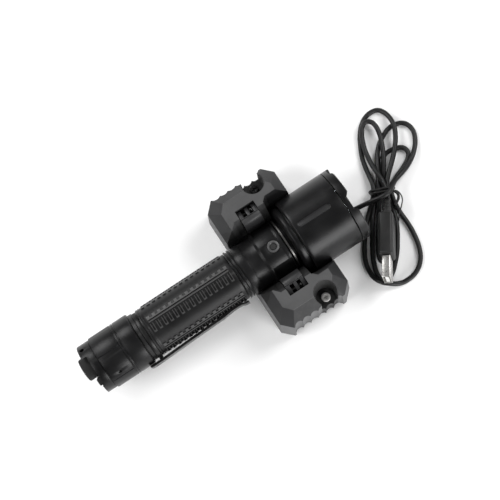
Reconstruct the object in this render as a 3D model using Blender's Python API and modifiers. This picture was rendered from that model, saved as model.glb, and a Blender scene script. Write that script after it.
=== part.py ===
"""Rechargeable duty flashlight lying in its charging cradle, with the bundled USB lead.

Metres, +Z up. The origin is the middle of the cradle's underside, the flashlight's
head points along +X and the two cradle wings stand at +Y (left) and -Y (right).
"""
import bpy
import bmesh
import math
from mathutils import Matrix, Vector

# ---- driving sizes -------------------------------------------------------------
rest_gap = 0.0003            # space left between pieces that rest on each other
axis_height = 0.025          # flashlight axis above the standing surface

# flashlight, outside, stations along X
tail_end = -0.1140
guard_depth = 0.0072
cap_front = -0.0837
cap_radius = 0.0146
guard_radius = 0.0140
collar_front = -0.0765
collar_radius = 0.0134
grip_front = -0.0254
grip_radius = 0.0132
rail_height = 0.0006
fin_radius = 0.0137
neck_rear = grip_front + rest_gap
housing_rear = -0.0087
housing_front = 0.0036
housing_radius = 0.0143
flat_distance = 0.0129
flat_tilt = 65.0             # degrees from straight up to the side flats
nose_radius = 0.0121
nose_front = 0.0136
head_rear = 0.0070
head_start = 0.0113
bezel_rear = 0.0395
head_end = 0.0442
head_radius = 0.0204
band_radius = 0.0186

# flashlight, inside
cell_radius = 0.0106
cell_length = 0.0700
tube_bore = 0.0109
tube_rear = -0.0930
tube_front = -0.0157
tail_nose_radius = 0.0124
front_nose_radius = 0.0122
thread_gap = 0.0003
ring_groove_depth = 0.0007
board_radius = 0.0110
lens_radius = 0.0185
lens_thickness = 0.0020

# tail switches
button_radius = 0.0062
button_offset = 0.0018
button_tip = -0.1171
button_travel = 0.0015
mode_button_width = 0.0042
mode_button_length = 0.0080
mode_button_offset = -0.0069
mode_button_tip = -0.1140
cap_turn = 15.0             # degrees the tail cap is turned about the axis

# side switch
switch_station = -0.0020
switch_ring_radius = 0.0031
switch_button_radius = 0.0016

# pocket clip
clip_ring_station = -0.0801
clip_ring_width = 0.0020
clip_width = 0.0070
clip_thickness = 0.0009
clip_rear = -0.0872
clip_front = -0.0270

# cradle
base_half_x = 0.0215
base_half_y = 0.0403
wall_half_x = 0.0205
wall_half_y = 0.0393
panel_half_x = 0.0148
panel_half_y = 0.0325
corner_cut = 0.0054
panel_corner_cut = 0.0034
wall_height = 0.0295
wing_height = 0.0390
plate_thickness = 0.0022
neck_trough_radius = 0.0149
neck_trough_top = 0.0228
neck_trough_top_rear = 0.0191
head_trough_radius = 0.0209
head_trough_start = 0.0063
head_trough_top_rear = 0.0225
head_trough_top_front = 0.0250
scallop_pitch = 0.0047
scallop_radius = 0.0030
scallop_depth = 0.0014
scallop_start = -0.0122
wall_screw_x = 0.0073
wall_screw_y = 0.0339
wall_screw_floor = 0.0180
recess_radius = 0.0056
jaw_middle = -0.0030
jaw_length = 0.0105
jaw_side_gap = 0.0003
window_outer = 0.0257
window_floor = 0.0150
pin_radius = 0.0010
pin_y = 0.0230
pin_z = 0.0340
pin_length = 0.0150
pin_hole_gap = 0.00015
contact_radius = 0.0009
contact_hole_gap = 0.0003
board_thickness = 0.0016
board_height = 0.0042

# lead
cord_radius = 0.00135
cord_height = 0.0021
hank_top = 0.0082
hank_bottom = 0.0002
plug_direction = Vector((0.557, 0.831, 0.0)).normalized()
plug_rear = Vector((0.0589, -0.0161, 0.0))
plug_bottom = 0.0038
plug_roll = 9.0              # degrees the plug leans over on its side
plug_pitch = 8.0             # degrees the plug's mouth is lifted
housing_tall = 0.0150
housing_thick = 0.0076
housing_long = 0.0232
shell_tall = 0.0120
shell_thick = 0.0045
shell_long = 0.0120
shell_wall = 0.0004

for old in list(bpy.data.objects):
    bpy.data.objects.remove(old, do_unlink=True)

parts = bpy.data.collections.new("flashlight_and_cradle")
bpy.context.scene.collection.children.link(parts)
guides = bpy.data.collections.new("cutting_shapes")
bpy.context.scene.collection.children.link(guides)


# ---- materials -----------------------------------------------------------------
def material(name, colour, roughness, metallic):
    made = bpy.data.materials.new(name)
    made.use_nodes = True
    shader = made.node_tree.nodes["Principled BSDF"]
    shader.inputs["Base Color"].default_value = (*colour, 1.0)
    shader.inputs["Roughness"].default_value = roughness
    shader.inputs["Metallic"].default_value = metallic
    return made


anodised = material("black_anodised_aluminium", (0.030, 0.030, 0.031), 0.42, 0.55)
cradle_plastic = material("black_moulded_plastic", (0.045, 0.045, 0.047), 0.62, 0.0)
black_rubber = material("black_rubber", (0.016, 0.016, 0.017), 0.75, 0.0)
black_steel = material("black_coated_steel", (0.025, 0.025, 0.026), 0.38, 0.8)
bright_steel = material("bright_steel", (0.56, 0.55, 0.53), 0.30, 1.0)
contact_nickel = material("nickel_contact", (0.60, 0.58, 0.55), 0.28, 1.0)
gold = material("gold_plate", (0.83, 0.61, 0.28), 0.25, 1.0)
spring_steel = material("spring_steel", (0.50, 0.50, 0.50), 0.32, 1.0)
clear_glass = material("coated_glass", (0.80, 0.85, 0.86), 0.05, 0.0)
mirror = material("aluminised_reflector", (0.86, 0.86, 0.86), 0.08, 1.0)
board_green = material("circuit_board", (0.03, 0.12, 0.06), 0.55, 0.0)
star_board = material("copper_led_board", (0.70, 0.68, 0.62), 0.40, 0.6)
phosphor = material("led_phosphor", (0.86, 0.66, 0.12), 0.45, 0.0)
cell_wrap = material("cell_sleeve", (0.05, 0.09, 0.20), 0.40, 0.0)
switch_plastic = material("switch_carrier_plastic", (0.06, 0.06, 0.06), 0.55, 0.0)
gasket_rubber = material("gasket_rubber", (0.02, 0.02, 0.02), 0.7, 0.0)
cord_vinyl = material("black_cord_vinyl", (0.022, 0.022, 0.023), 0.48, 0.0)
tie_vinyl = material("black_tie_vinyl", (0.012, 0.012, 0.012), 0.60, 0.0)
insert_plastic = material("plug_insert_plastic", (0.75, 0.75, 0.73), 0.5, 0.0)


# ---- building helpers ------------------------------------------------------------
def add_object(name, mesh, surface, target=parts):
    item = bpy.data.objects.new(name, mesh)
    target.objects.link(item)
    if surface is not None:
        mesh.materials.append(surface)
    if target is guides:
        item.hide_render = True
        item.display_type = "WIRE"
    return item


def mesh_from(name, corners, faces):
    mesh = bpy.data.meshes.new(name)
    mesh.from_pydata([tuple(corner) for corner in corners], [], faces)
    shape = bmesh.new()
    shape.from_mesh(mesh)
    bmesh.ops.recalc_face_normals(shape, faces=shape.faces)
    shape.to_mesh(mesh)
    shape.free()
    return mesh


def turned(name, profile, steps, surface, closed=True, target=parts):
    """Profile is (station, radius) pairs, outer side first from tail to head."""
    corners = [(radius, 0.0, station) for station, radius in reversed(profile)]
    edges = [(i, i + 1) for i in range(len(corners) - 1)]
    if closed:
        edges.append((len(corners) - 1, 0))
    mesh = bpy.data.meshes.new(name)
    mesh.from_pydata(corners, edges, [])
    item = add_object(name, mesh, surface, target)
    screw = item.modifiers.new("turn", "SCREW")
    screw.axis = "Z"
    screw.angle = math.tau
    screw.steps = steps
    screw.render_steps = steps
    screw.use_merge_vertices = True
    screw.merge_threshold = 0.00001
    item.location = (0.0, 0.0, axis_height)
    item.rotation_euler = (0.0, math.pi / 2.0, 0.0)
    return item


def prism(name, outline, low, high, surface, target=parts):
    """Outline in XY, from low to high in Z."""
    count = len(outline)
    corners = [(x, y, low) for x, y in outline] + [(x, y, high) for x, y in outline]
    faces = [tuple(range(count)), tuple(range(count, 2 * count))]
    for i in range(count):
        j = (i + 1) % count
        faces.append((i, j, count + j, count + i))
    return add_object(name, mesh_from(name, corners, faces), surface, target)


def long_prism(name, outline, start, end, surface, target=parts):
    """Outline in YZ, from start to end along X."""
    count = len(outline)
    corners = [(start, y, z) for y, z in outline] + [(end, y, z) for y, z in outline]
    faces = [tuple(range(count)), tuple(range(count, 2 * count))]
    for i in range(count):
        j = (i + 1) % count
        faces.append((i, j, count + j, count + i))
    return add_object(name, mesh_from(name, corners, faces), surface, target)


def lofted(name, rings, surface, target=parts):
    """Rings are lists of 3-D corners, all of one length, joined in order and capped."""
    count = len(rings[0])
    corners = [corner for ring in rings for corner in ring]
    faces = [tuple(range(count)), tuple(range(len(corners) - count, len(corners)))]
    for level in range(len(rings) - 1):
        for i in range(count):
            j = (i + 1) % count
            base = level * count
            faces.append((base + i, base + j, base + count + j, base + count + i))
    return add_object(name, mesh_from(name, corners, faces), surface, target)


def box(name, low, high, surface=None, target=guides):
    outline = [(low[0], low[1]), (high[0], low[1]), (high[0], high[1]), (low[0], high[1])]
    return prism(name, outline, low[2], high[2], surface, target)


def rod(name, middle, radius, length, direction, steps, surface=None, target=guides):
    mesh = bpy.data.meshes.new(name)
    shape = bmesh.new()
    bmesh.ops.create_cone(
        shape, cap_ends=True, segments=steps, radius1=radius, radius2=radius, depth=length)
    shape.to_mesh(mesh)
    shape.free()
    item = add_object(name, mesh, surface, target)
    item.location = middle
    item.rotation_euler = Vector(direction).to_track_quat("Z", "Y").to_euler()
    return item


def combine(item, other, operation):
    change = item.modifiers.new(operation.lower() + "_" + other.name, "BOOLEAN")
    change.operation = operation
    change.solver = "EXACT"
    change.object = other
    return change


def cut(item, *others):
    for other in others:
        combine(item, other, "DIFFERENCE")


def turn_about_axis(item, degrees):
    """Turn a piece that was made upright about the flashlight's axis."""
    middle = Matrix.Translation((0.0, 0.0, axis_height))
    turn = Matrix.Rotation(math.radians(degrees), 4, "X")
    item.matrix_world = middle @ turn @ middle.inverted() @ item.matrix_basis


def smooth(item, angle=35.0):
    mesh = item.data
    mesh.shade_smooth()
    mesh.set_sharp_from_angle(angle=math.radians(angle))


def wire(name, points, thickness, surface, closed=False, detail=2, target=parts):
    curve = bpy.data.curves.new(name, "CURVE")
    curve.dimensions = "3D"
    curve.bevel_depth = thickness
    curve.bevel_resolution = detail
    curve.use_fill_caps = True
    path = curve.splines.new("POLY")
    path.points.add(len(points) - 1)
    for spot, point in zip(path.points, points):
        spot.co = (*point, 1.0)
    path.use_cyclic_u = closed
    item = bpy.data.objects.new(name, curve)
    target.objects.link(item)
    curve.materials.append(surface)
    return item


def coil_points(start, length, coil_radius, turns, steps):
    count = int(turns * steps)
    points = []
    for i in range(count + 1):
        angle = math.tau * i / steps
        along = start + length * i / count
        points.append(
            (along, coil_radius * math.sin(angle), axis_height + coil_radius * math.cos(angle)))
    return points


# ---- flashlight: tail ------------------------------------------------------------
cap_inner = tail_nose_radius + thread_gap
tail_cap = turned("tail_cap", [
    (tail_end, guard_radius - 0.0007),
    (tail_end + 0.0006, guard_radius),
    (tail_end + guard_depth - 0.0003, guard_radius),
    (tail_end + guard_depth, guard_radius - 0.0003),
    (tail_end + guard_depth + 0.0005, cap_radius),
    (-0.0940, cap_radius),
    (-0.0938, cap_radius - 0.0003),
    (-0.0934, cap_radius - 0.0003),
    (-0.0932, cap_radius),
    (cap_front - 0.0004, cap_radius),
    (cap_front, cap_radius - 0.0004),
    (cap_front, cap_inner),
    (-0.0934, cap_inner),
    (-0.0934, 0.0109),
    (-0.1046, 0.0109),
    (-0.1046, 0.0102),
    (tail_end, 0.0102),
], 48, anodised)
guard_gap = box(
    "guard_gap", (tail_end - 0.005, -0.0086, axis_height - 0.020),
    (tail_end + 0.0030, 0.0086, axis_height + 0.020))
turn_about_axis(guard_gap, cap_turn)
short_guard = box(
    "short_guard", (tail_end - 0.005, -0.0200, axis_height - 0.020),
    (tail_end + 0.0018, -0.0080, axis_height + 0.020))
turn_about_axis(short_guard, cap_turn)
lanyard_hole = rod(
    "lanyard_hole", (tail_end + 0.0024, 0.0110, axis_height + 0.0066), 0.0012, 0.010,
    (0.0, 0.857, 0.515), 16)
turn_about_axis(lanyard_hole, cap_turn)
dimple = rod("cap_dimple", (-0.1008, 0.0, axis_height + cap_radius + 0.0009), 0.0010, 0.0030,
             (0.0, 0.0, 1.0), 12)
turn_about_axis(dimple, 43.0)
cut(tail_cap, guard_gap, short_guard, lanyard_hole, dimple)
for index in range(6):
    panel_line = box(
        "panel_line_%d" % index,
        (tail_end + guard_depth + 0.0006, -0.0002, axis_height + cap_radius - 0.0004),
        (-0.0942, 0.0002, axis_height + cap_radius + 0.0010))
    turn_about_axis(panel_line, 4.0 + 60.0 * index)
    cut(tail_cap, panel_line)

tail_web = -0.1046
tail_button = turned("tail_button", [
    (button_tip, 0.0),
    (button_tip, button_radius - 0.0008),
    (button_tip + 0.0008, button_radius),
    (tail_web - button_travel - rest_gap, button_radius),
    (tail_web - button_travel - rest_gap, 0.0),
], 32, black_rubber, closed=False)
tail_button.location = (0.0, button_offset, axis_height)
mode_button = box(
    "mode_button",
    (mode_button_tip, mode_button_offset - mode_button_width / 2.0,
     axis_height - mode_button_length / 2.0),
    (tail_web - button_travel - rest_gap, mode_button_offset + mode_button_width / 2.0,
     axis_height + mode_button_length / 2.0), black_rubber, parts)
turn_about_axis(mode_button, cap_turn)
turn_about_axis(tail_button, cap_turn)

switch_module = turned("tail_switch_module", [
    (tail_web + 0.0000, 0.0),
    (tail_web + 0.0000, 0.0098),
    (tail_web + 0.0003, 0.0098),
    (tail_web + 0.0003, 0.0106),
    (-0.0972, 0.0106),
    (-0.0972, 0.0),
], 40, switch_plastic, closed=False)
turned("tail_retaining_ring", [
    (-0.0969, 0.0106),
    (-0.0946, 0.0106),
    (-0.0946, 0.0072),
    (-0.0969, 0.0072),
], 40, anodised)

cell_rear = -0.0872
spring_wire = 0.0004
wire("tail_spring",
     coil_points(-0.0969 + spring_wire + 0.0001, 0.0086, 0.0042, 4.0, 12), spring_wire,
     spring_steel)

o_ring_station = -0.0865
o_ring_width = 0.0014
turned("tail_o_ring", [
    (o_ring_station + 0.0001, tail_nose_radius + 0.0001),
    (o_ring_station + o_ring_width - 0.0001, tail_nose_radius + 0.0001),
    (o_ring_station + o_ring_width - 0.0001, tail_nose_radius - ring_groove_depth + 0.0001),
    (o_ring_station + 0.0001, tail_nose_radius - ring_groove_depth + 0.0001),
], 48, gasket_rubber)

# ---- flashlight: body tube --------------------------------------------------------
front_ring_station = -0.0220
clip_slot_rear = clip_ring_station - clip_ring_width / 2.0 - rest_gap
clip_slot_front = clip_ring_station + clip_ring_width / 2.0 + rest_gap
clip_seat = 0.0127
body_tube = turned("body_tube", [
    (tube_rear, tail_nose_radius),
    (o_ring_station, tail_nose_radius),
    (o_ring_station, tail_nose_radius - ring_groove_depth),
    (o_ring_station + o_ring_width, tail_nose_radius - ring_groove_depth),
    (o_ring_station + o_ring_width, tail_nose_radius),
    (cap_front + rest_gap, tail_nose_radius),
    (cap_front + rest_gap, collar_radius),
    (clip_slot_rear, collar_radius),
    (clip_slot_rear, clip_seat),
    (clip_slot_front, clip_seat),
    (clip_slot_front, collar_radius),
    (collar_front, collar_radius),
    (collar_front + 0.0003, grip_radius),
    (grip_front, grip_radius),
    (grip_front, front_nose_radius),
    (front_ring_station, front_nose_radius),
    (front_ring_station, front_nose_radius - ring_groove_depth),
    (front_ring_station + o_ring_width, front_nose_radius - ring_groove_depth),
    (front_ring_station + o_ring_width, front_nose_radius),
    (tube_front, front_nose_radius),
    (tube_front, tube_bore),
    (tube_rear, tube_bore),
], 48, anodised)

tooth_pitch = 0.0033
tooth_long = 0.0018
rack_start = collar_front + 0.0008
rack_count = 15


def rack(name, degrees):
    """Raised double rail with a row of teeth along one side."""
    half = 0.0011
    outline = [(rack_start, -half), (rack_start + tooth_pitch * rack_count - 0.0004, -half)]
    for step in reversed(range(rack_count)):
        left = rack_start + step * tooth_pitch
        right = left + tooth_long
        if step == rack_count - 1:
            outline.append((rack_start + tooth_pitch * rack_count - 0.0004, half))
        outline.append((right, half))
        outline.append((right, half + 0.0013))
        outline.append((left, half + 0.0013))
        outline.append((left, half))
    outline = [point for i, point in enumerate(outline) if point != outline[i - 1]]
    item = prism(name, outline, axis_height + 0.0124,
                 axis_height + grip_radius + rail_height, None, guides)
    turn_about_axis(item, degrees)
    return item


for index in range(5):
    combine(body_tube, rack("grip_rack_%d" % index, -12.0 + 72.0 * index), "UNION")

turned("head_o_ring", [
    (front_ring_station + 0.0001, front_nose_radius + 0.0001),
    (front_ring_station + o_ring_width - 0.0001, front_nose_radius + 0.0001),
    (front_ring_station + o_ring_width - 0.0001,
     front_nose_radius - ring_groove_depth + 0.0001),
    (front_ring_station + 0.0001, front_nose_radius - ring_groove_depth + 0.0001),
], 48, gasket_rubber)

cell_front = cell_rear + cell_length
turned("battery_cell", [
    (cell_rear, 0.0),
    (cell_rear, cell_radius - 0.0004),
    (cell_rear + 0.0004, cell_radius),
    (cell_front - 0.0010, cell_radius),
    (cell_front, cell_radius - 0.0010),
    (cell_front, 0.0),
], 36, cell_wrap, closed=False)
turned("battery_cap", [
    (cell_front + rest_gap, 0.0),
    (cell_front + rest_gap, 0.0045),
    (cell_front + 0.0013, 0.0040),
    (cell_front + 0.0013, 0.0),
], 24, contact_nickel, closed=False)

# ---- flashlight: pocket clip --------------------------------------------------------
clip_inner = clip_seat + rest_gap
clip_outer = 0.0140
pocket_clip = turned("pocket_clip", [
    (clip_ring_station - clip_ring_width / 2.0, clip_outer),
    (clip_ring_station + clip_ring_width / 2.0, clip_outer),
    (clip_ring_station + clip_ring_width / 2.0, clip_inner),
    (clip_ring_station - clip_ring_width / 2.0, clip_inner),
], 48, black_steel)
clip_mouth = box("clip_mouth", (clip_ring_station - 0.002, 0.0080, axis_height - 0.0060),
                 (clip_ring_station + 0.002, 0.0200, axis_height + 0.0060))
turn_about_axis(clip_mouth, 8.0)
cut(pocket_clip, clip_mouth)
clip_path = [
    (clip_rear, cap_radius + 0.0004),
    (clip_rear + 0.0008, 0.01550),
    (clip_rear + 0.0018, 0.01575),
    (-0.0800, 0.01585),
    (-0.0610, 0.01500),
    (-0.0470, 0.01440),
    (-0.0428, 0.01430),
    (-0.0397, 0.01385),
    (-0.0370, 0.01355),
    (-0.0335, 0.01350),
    (-0.0310, 0.01365),
    (-0.0290, 0.01440),
    (clip_front, 0.01465),
]


def offset_path(path, distance):
    moved = []
    for i, (x, y) in enumerate(path):
        before = Vector(path[max(i - 1, 0)])
        after = Vector(path[min(i + 1, len(path) - 1)])
        along = (after - before).normalized()
        moved.append((x - along.y * distance, y + along.x * distance))
    return moved


strip_outer = [(x, -y) for x, y in offset_path(clip_path, clip_thickness)]
strip_inner = [(x, -y) for x, y in clip_path]
clip_strip = prism("clip_strip", strip_outer + list(reversed(strip_inner)),
                   axis_height - clip_width / 2.0, axis_height + clip_width / 2.0, None, guides)
clip_foot = box(
    "clip_foot",
    (clip_ring_station - clip_ring_width / 2.0, -0.0162, axis_height - 0.0030),
    (clip_ring_station + clip_ring_width / 2.0, -0.0134, axis_height + 0.0030))
combine(pocket_clip, clip_foot, "UNION")
combine(pocket_clip, clip_strip, "UNION")

# ---- flashlight: neck -----------------------------------------------------------------
neck_bore = front_nose_radius + thread_gap
neck_housing = turned("neck_housing", [
    (neck_rear, fin_radius - 0.0002),
    (neck_rear + 0.0002, fin_radius),
    (neck_rear + 0.0010, fin_radius),
    (neck_rear + 0.0012, fin_radius - 0.0008),
    (neck_rear + 0.0019, fin_radius - 0.0008),
    (neck_rear + 0.0021, fin_radius),
    (neck_rear + 0.0029, fin_radius),
    (neck_rear + 0.0031, fin_radius - 0.0008),
    (neck_rear + 0.0038, fin_radius - 0.0008),
    (neck_rear + 0.0040, fin_radius - 0.0001),
    (neck_rear + 0.0080, fin_radius - 0.0001),
    (neck_rear + 0.0082, 0.0131),
    (housing_rear - 0.0030, 0.0134),
    (housing_rear, housing_radius),
    (housing_front - 0.0002, housing_radius),
    (housing_front, housing_radius - 0.0002),
    (housing_front, nose_radius),
    (nose_front, nose_radius),
    (nose_front, 0.0100),
    (-0.0078, 0.0100),
    (-0.0078, 0.0020),
    (-0.0092, 0.0020),
    (-0.0092, board_radius + 0.0003),
    (tube_front + rest_gap, board_radius + 0.0003),
    (tube_front + rest_gap, neck_bore),
    (neck_rear, neck_bore),
], 48, anodised)
for side in (-1.0, 1.0):
    flat = box("side_flat_%d" % (1 + side),
               (housing_rear + 0.0006, -0.0100, axis_height + flat_distance),
               (housing_front - 0.0004, 0.0100, axis_height + 0.020))
    turn_about_axis(flat, flat_tilt * side)
    cut(neck_housing, flat)
switch_well = rod("switch_well", (switch_station, 0.0, axis_height + 0.0125),
                  switch_ring_radius + rest_gap, 0.0080, (0.0, 0.0, 1.0), 24)
cut(neck_housing, switch_well)

ring_cut = rod("switch_ring_cut", (switch_station, 0.0, axis_height + 0.0125),
               switch_button_radius + 0.00015, 0.0080, (0.0, 0.0, 1.0), 24)
switch_ring = rod("side_switch_ring", (switch_station, 0.0, axis_height + 0.01325),
                  switch_ring_radius, 0.0023, (0.0, 0.0, 1.0), 24, contact_nickel, parts)
cut(switch_ring, ring_cut)
rod("side_switch_button", (switch_station, 0.0, axis_height + 0.01280),
    switch_button_radius, 0.0030, (0.0, 0.0, 1.0), 20, black_rubber, parts)

turned("charge_contact_ring", [
    (housing_front + 0.0007, 0.0140),
    (housing_front + 0.0017, 0.0140),
    (housing_front + 0.0017, nose_radius + 0.0002),
    (housing_front + 0.0007, nose_radius + 0.0002),
], 48, contact_nickel)

wire("head_spring",
     coil_points(cell_front + 0.0013 + rest_gap + spring_wire, 0.0026, 0.0026, 3.0, 12),
     spring_wire, gold)
turned("driver_board", [
    (-0.0111, 0.0),
    (-0.0111, board_radius),
    (-0.0095, board_radius),
    (-0.0095, 0.0),
], 32, board_green, closed=False)

# ---- flashlight: head -------------------------------------------------------------------
head_inner = 0.0179
head_shell = turned("head_shell", [
    (head_rear, 0.0160),
    (head_rear + 0.0010, band_radius - 0.0003),
    (head_rear + 0.0013, band_radius),
    (head_start - 0.0008, band_radius),
    (head_start - 0.0006, band_radius - 0.0007),
    (head_start, band_radius - 0.0007),
    (head_start + 0.0002, head_radius),
    (bezel_rear - rest_gap, head_radius),
    (bezel_rear - rest_gap, lens_radius + rest_gap),
    (0.0355, lens_radius + rest_gap),
    (0.0355, head_inner),
    (nose_front, head_inner),
    (nose_front, nose_radius + 0.0003),
    (head_rear, nose_radius + 0.0003),
], 48, anodised)
slot_length = 0.0190
slot_width = 0.0029
slot_middle = 0.0236
slot_outline = []
for end, first in ((1.0, -90.0), (-1.0, 90.0)):
    for step in range(9):
        angle = math.radians(first + 22.5 * step)
        slot_outline.append((
            slot_middle + end * (slot_length - slot_width) / 2.0
            + math.cos(angle) * slot_width / 2.0,
            math.sin(angle) * slot_width / 2.0))
slot_cut = prism("head_slot_cut", slot_outline, axis_height + head_radius - 0.0005,
                 axis_height + head_radius + 0.0020, None, guides)
turn_about_axis(slot_cut, -3.0)
cut(head_shell, slot_cut)

bezel_ring = turned("bezel_ring", [
    (bezel_rear, head_radius),
    (head_end - 0.0005, head_radius),
    (head_end, head_radius - 0.0005),
    (head_end, 0.0176),
    (bezel_rear + 0.0004, 0.0168),
    (bezel_rear, 0.0168),
], 60, anodised)
for index in range(5):
    notch = lofted("bezel_notch_%d" % index, [
        [(head_end - 0.0020, -0.0034, axis_height + 0.0140),
         (head_end - 0.0020, 0.0034, axis_height + 0.0140),
         (head_end + 0.0010, 0.0066, axis_height + 0.0140),
         (head_end + 0.0010, -0.0066, axis_height + 0.0140)],
        [(head_end - 0.0020, -0.0034, axis_height + 0.0240),
         (head_end - 0.0020, 0.0034, axis_height + 0.0240),
         (head_end + 0.0010, 0.0066, axis_height + 0.0240),
         (head_end + 0.0010, -0.0066, axis_height + 0.0240)],
    ], None, guides)
    turn_about_axis(notch, 10.0 + 72.0 * index)
    cut(bezel_ring, notch)

lens_rear = 0.0358
turned("lens", [
    (lens_rear, 0.0),
    (lens_rear, lens_radius),
    (lens_rear + lens_thickness, lens_radius),
    (lens_rear + lens_thickness, 0.0),
], 40, clear_glass, closed=False)
turned("lens_gasket", [
    (lens_rear + lens_thickness + 0.0003, lens_radius),
    (bezel_rear - 0.0003, lens_radius),
    (bezel_rear - 0.0003, lens_radius - 0.0015),
    (lens_rear + lens_thickness + 0.0003, lens_radius - 0.0015),
], 40, gasket_rubber)

reflector_rear = 0.0158
reflector_wall = 0.0007
reflector_rings = []
for step in range(9):
    depth = (lens_rear - rest_gap - reflector_rear) * step / 8.0
    reflector_rings.append((reflector_rear + depth, 0.0040 + 0.0128 * math.sqrt(step / 8.0)))
reflector_profile = [(x, r + reflector_wall) for x, r in reflector_rings]
reflector_profile += list(reversed(reflector_rings))
turned("reflector", reflector_profile, 40, mirror)
turned("led_board", [
    (nose_front + rest_gap, 0.0),
    (nose_front + rest_gap, 0.0150),
    (nose_front + rest_gap + 0.0015, 0.0150),
    (nose_front + rest_gap + 0.0015, 0.0),
], 32, star_board, closed=False)
box("led_emitter", (nose_front + 0.0021, -0.0025, axis_height - 0.0025),
    (nose_front + 0.0031, 0.0025, axis_height + 0.0025), phosphor, parts)


# ---- cradle ------------------------------------------------------------------------------
def octagon(half_x, half_y, corner):
    return [
        (half_x, -half_y + corner), (half_x, half_y - corner),
        (half_x - corner, half_y), (-half_x + corner, half_y),
        (-half_x, half_y - corner), (-half_x, -half_y + corner),
        (-half_x + corner, -half_y), (half_x - corner, -half_y),
    ]


def level(outline, height):
    return [(x, y, height) for x, y in outline]


body_low = plate_thickness + rest_gap
cradle_body = lofted("cradle_body", [
    level(octagon(base_half_x, base_half_y, corner_cut), body_low),
    level(octagon(wall_half_x, wall_half_y, corner_cut), wall_height),
    level(octagon(panel_half_x, panel_half_y, panel_corner_cut), wing_height),
], cradle_plastic)


def trough(radius, half_top):
    """Open channel around the flashlight, seen along X."""
    outline = [(half_top, wing_height + 0.002), (radius, axis_height + 0.0020)]
    for step in range(13):
        angle = math.radians(-15.0 * step)
        outline.append((radius * math.cos(angle), axis_height + radius * math.sin(angle)))
    outline.append((-radius, axis_height + 0.0020))
    outline.append((-half_top, wing_height + 0.002))
    return outline


neck_trough = lofted("neck_trough", [
    [(station, y, z) for y, z in trough(neck_trough_radius, half_top)]
    for station, half_top in (
        (-0.0300, neck_trough_top_rear), (-0.0148, neck_trough_top_rear),
        (-0.0115, neck_trough_top), (head_trough_start + 0.001, neck_trough_top))
], None, guides)
head_trough = lofted("head_trough", [
    [(station, y, z) for y, z in trough(head_trough_radius, half_top)]
    for station, half_top in (
        (head_trough_start, head_trough_top_rear),
        (head_trough_start + 0.0027, head_trough_top_front),
        (base_half_x + 0.002, head_trough_top_front))
], None, guides)
cut(cradle_body, neck_trough, head_trough)

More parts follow.
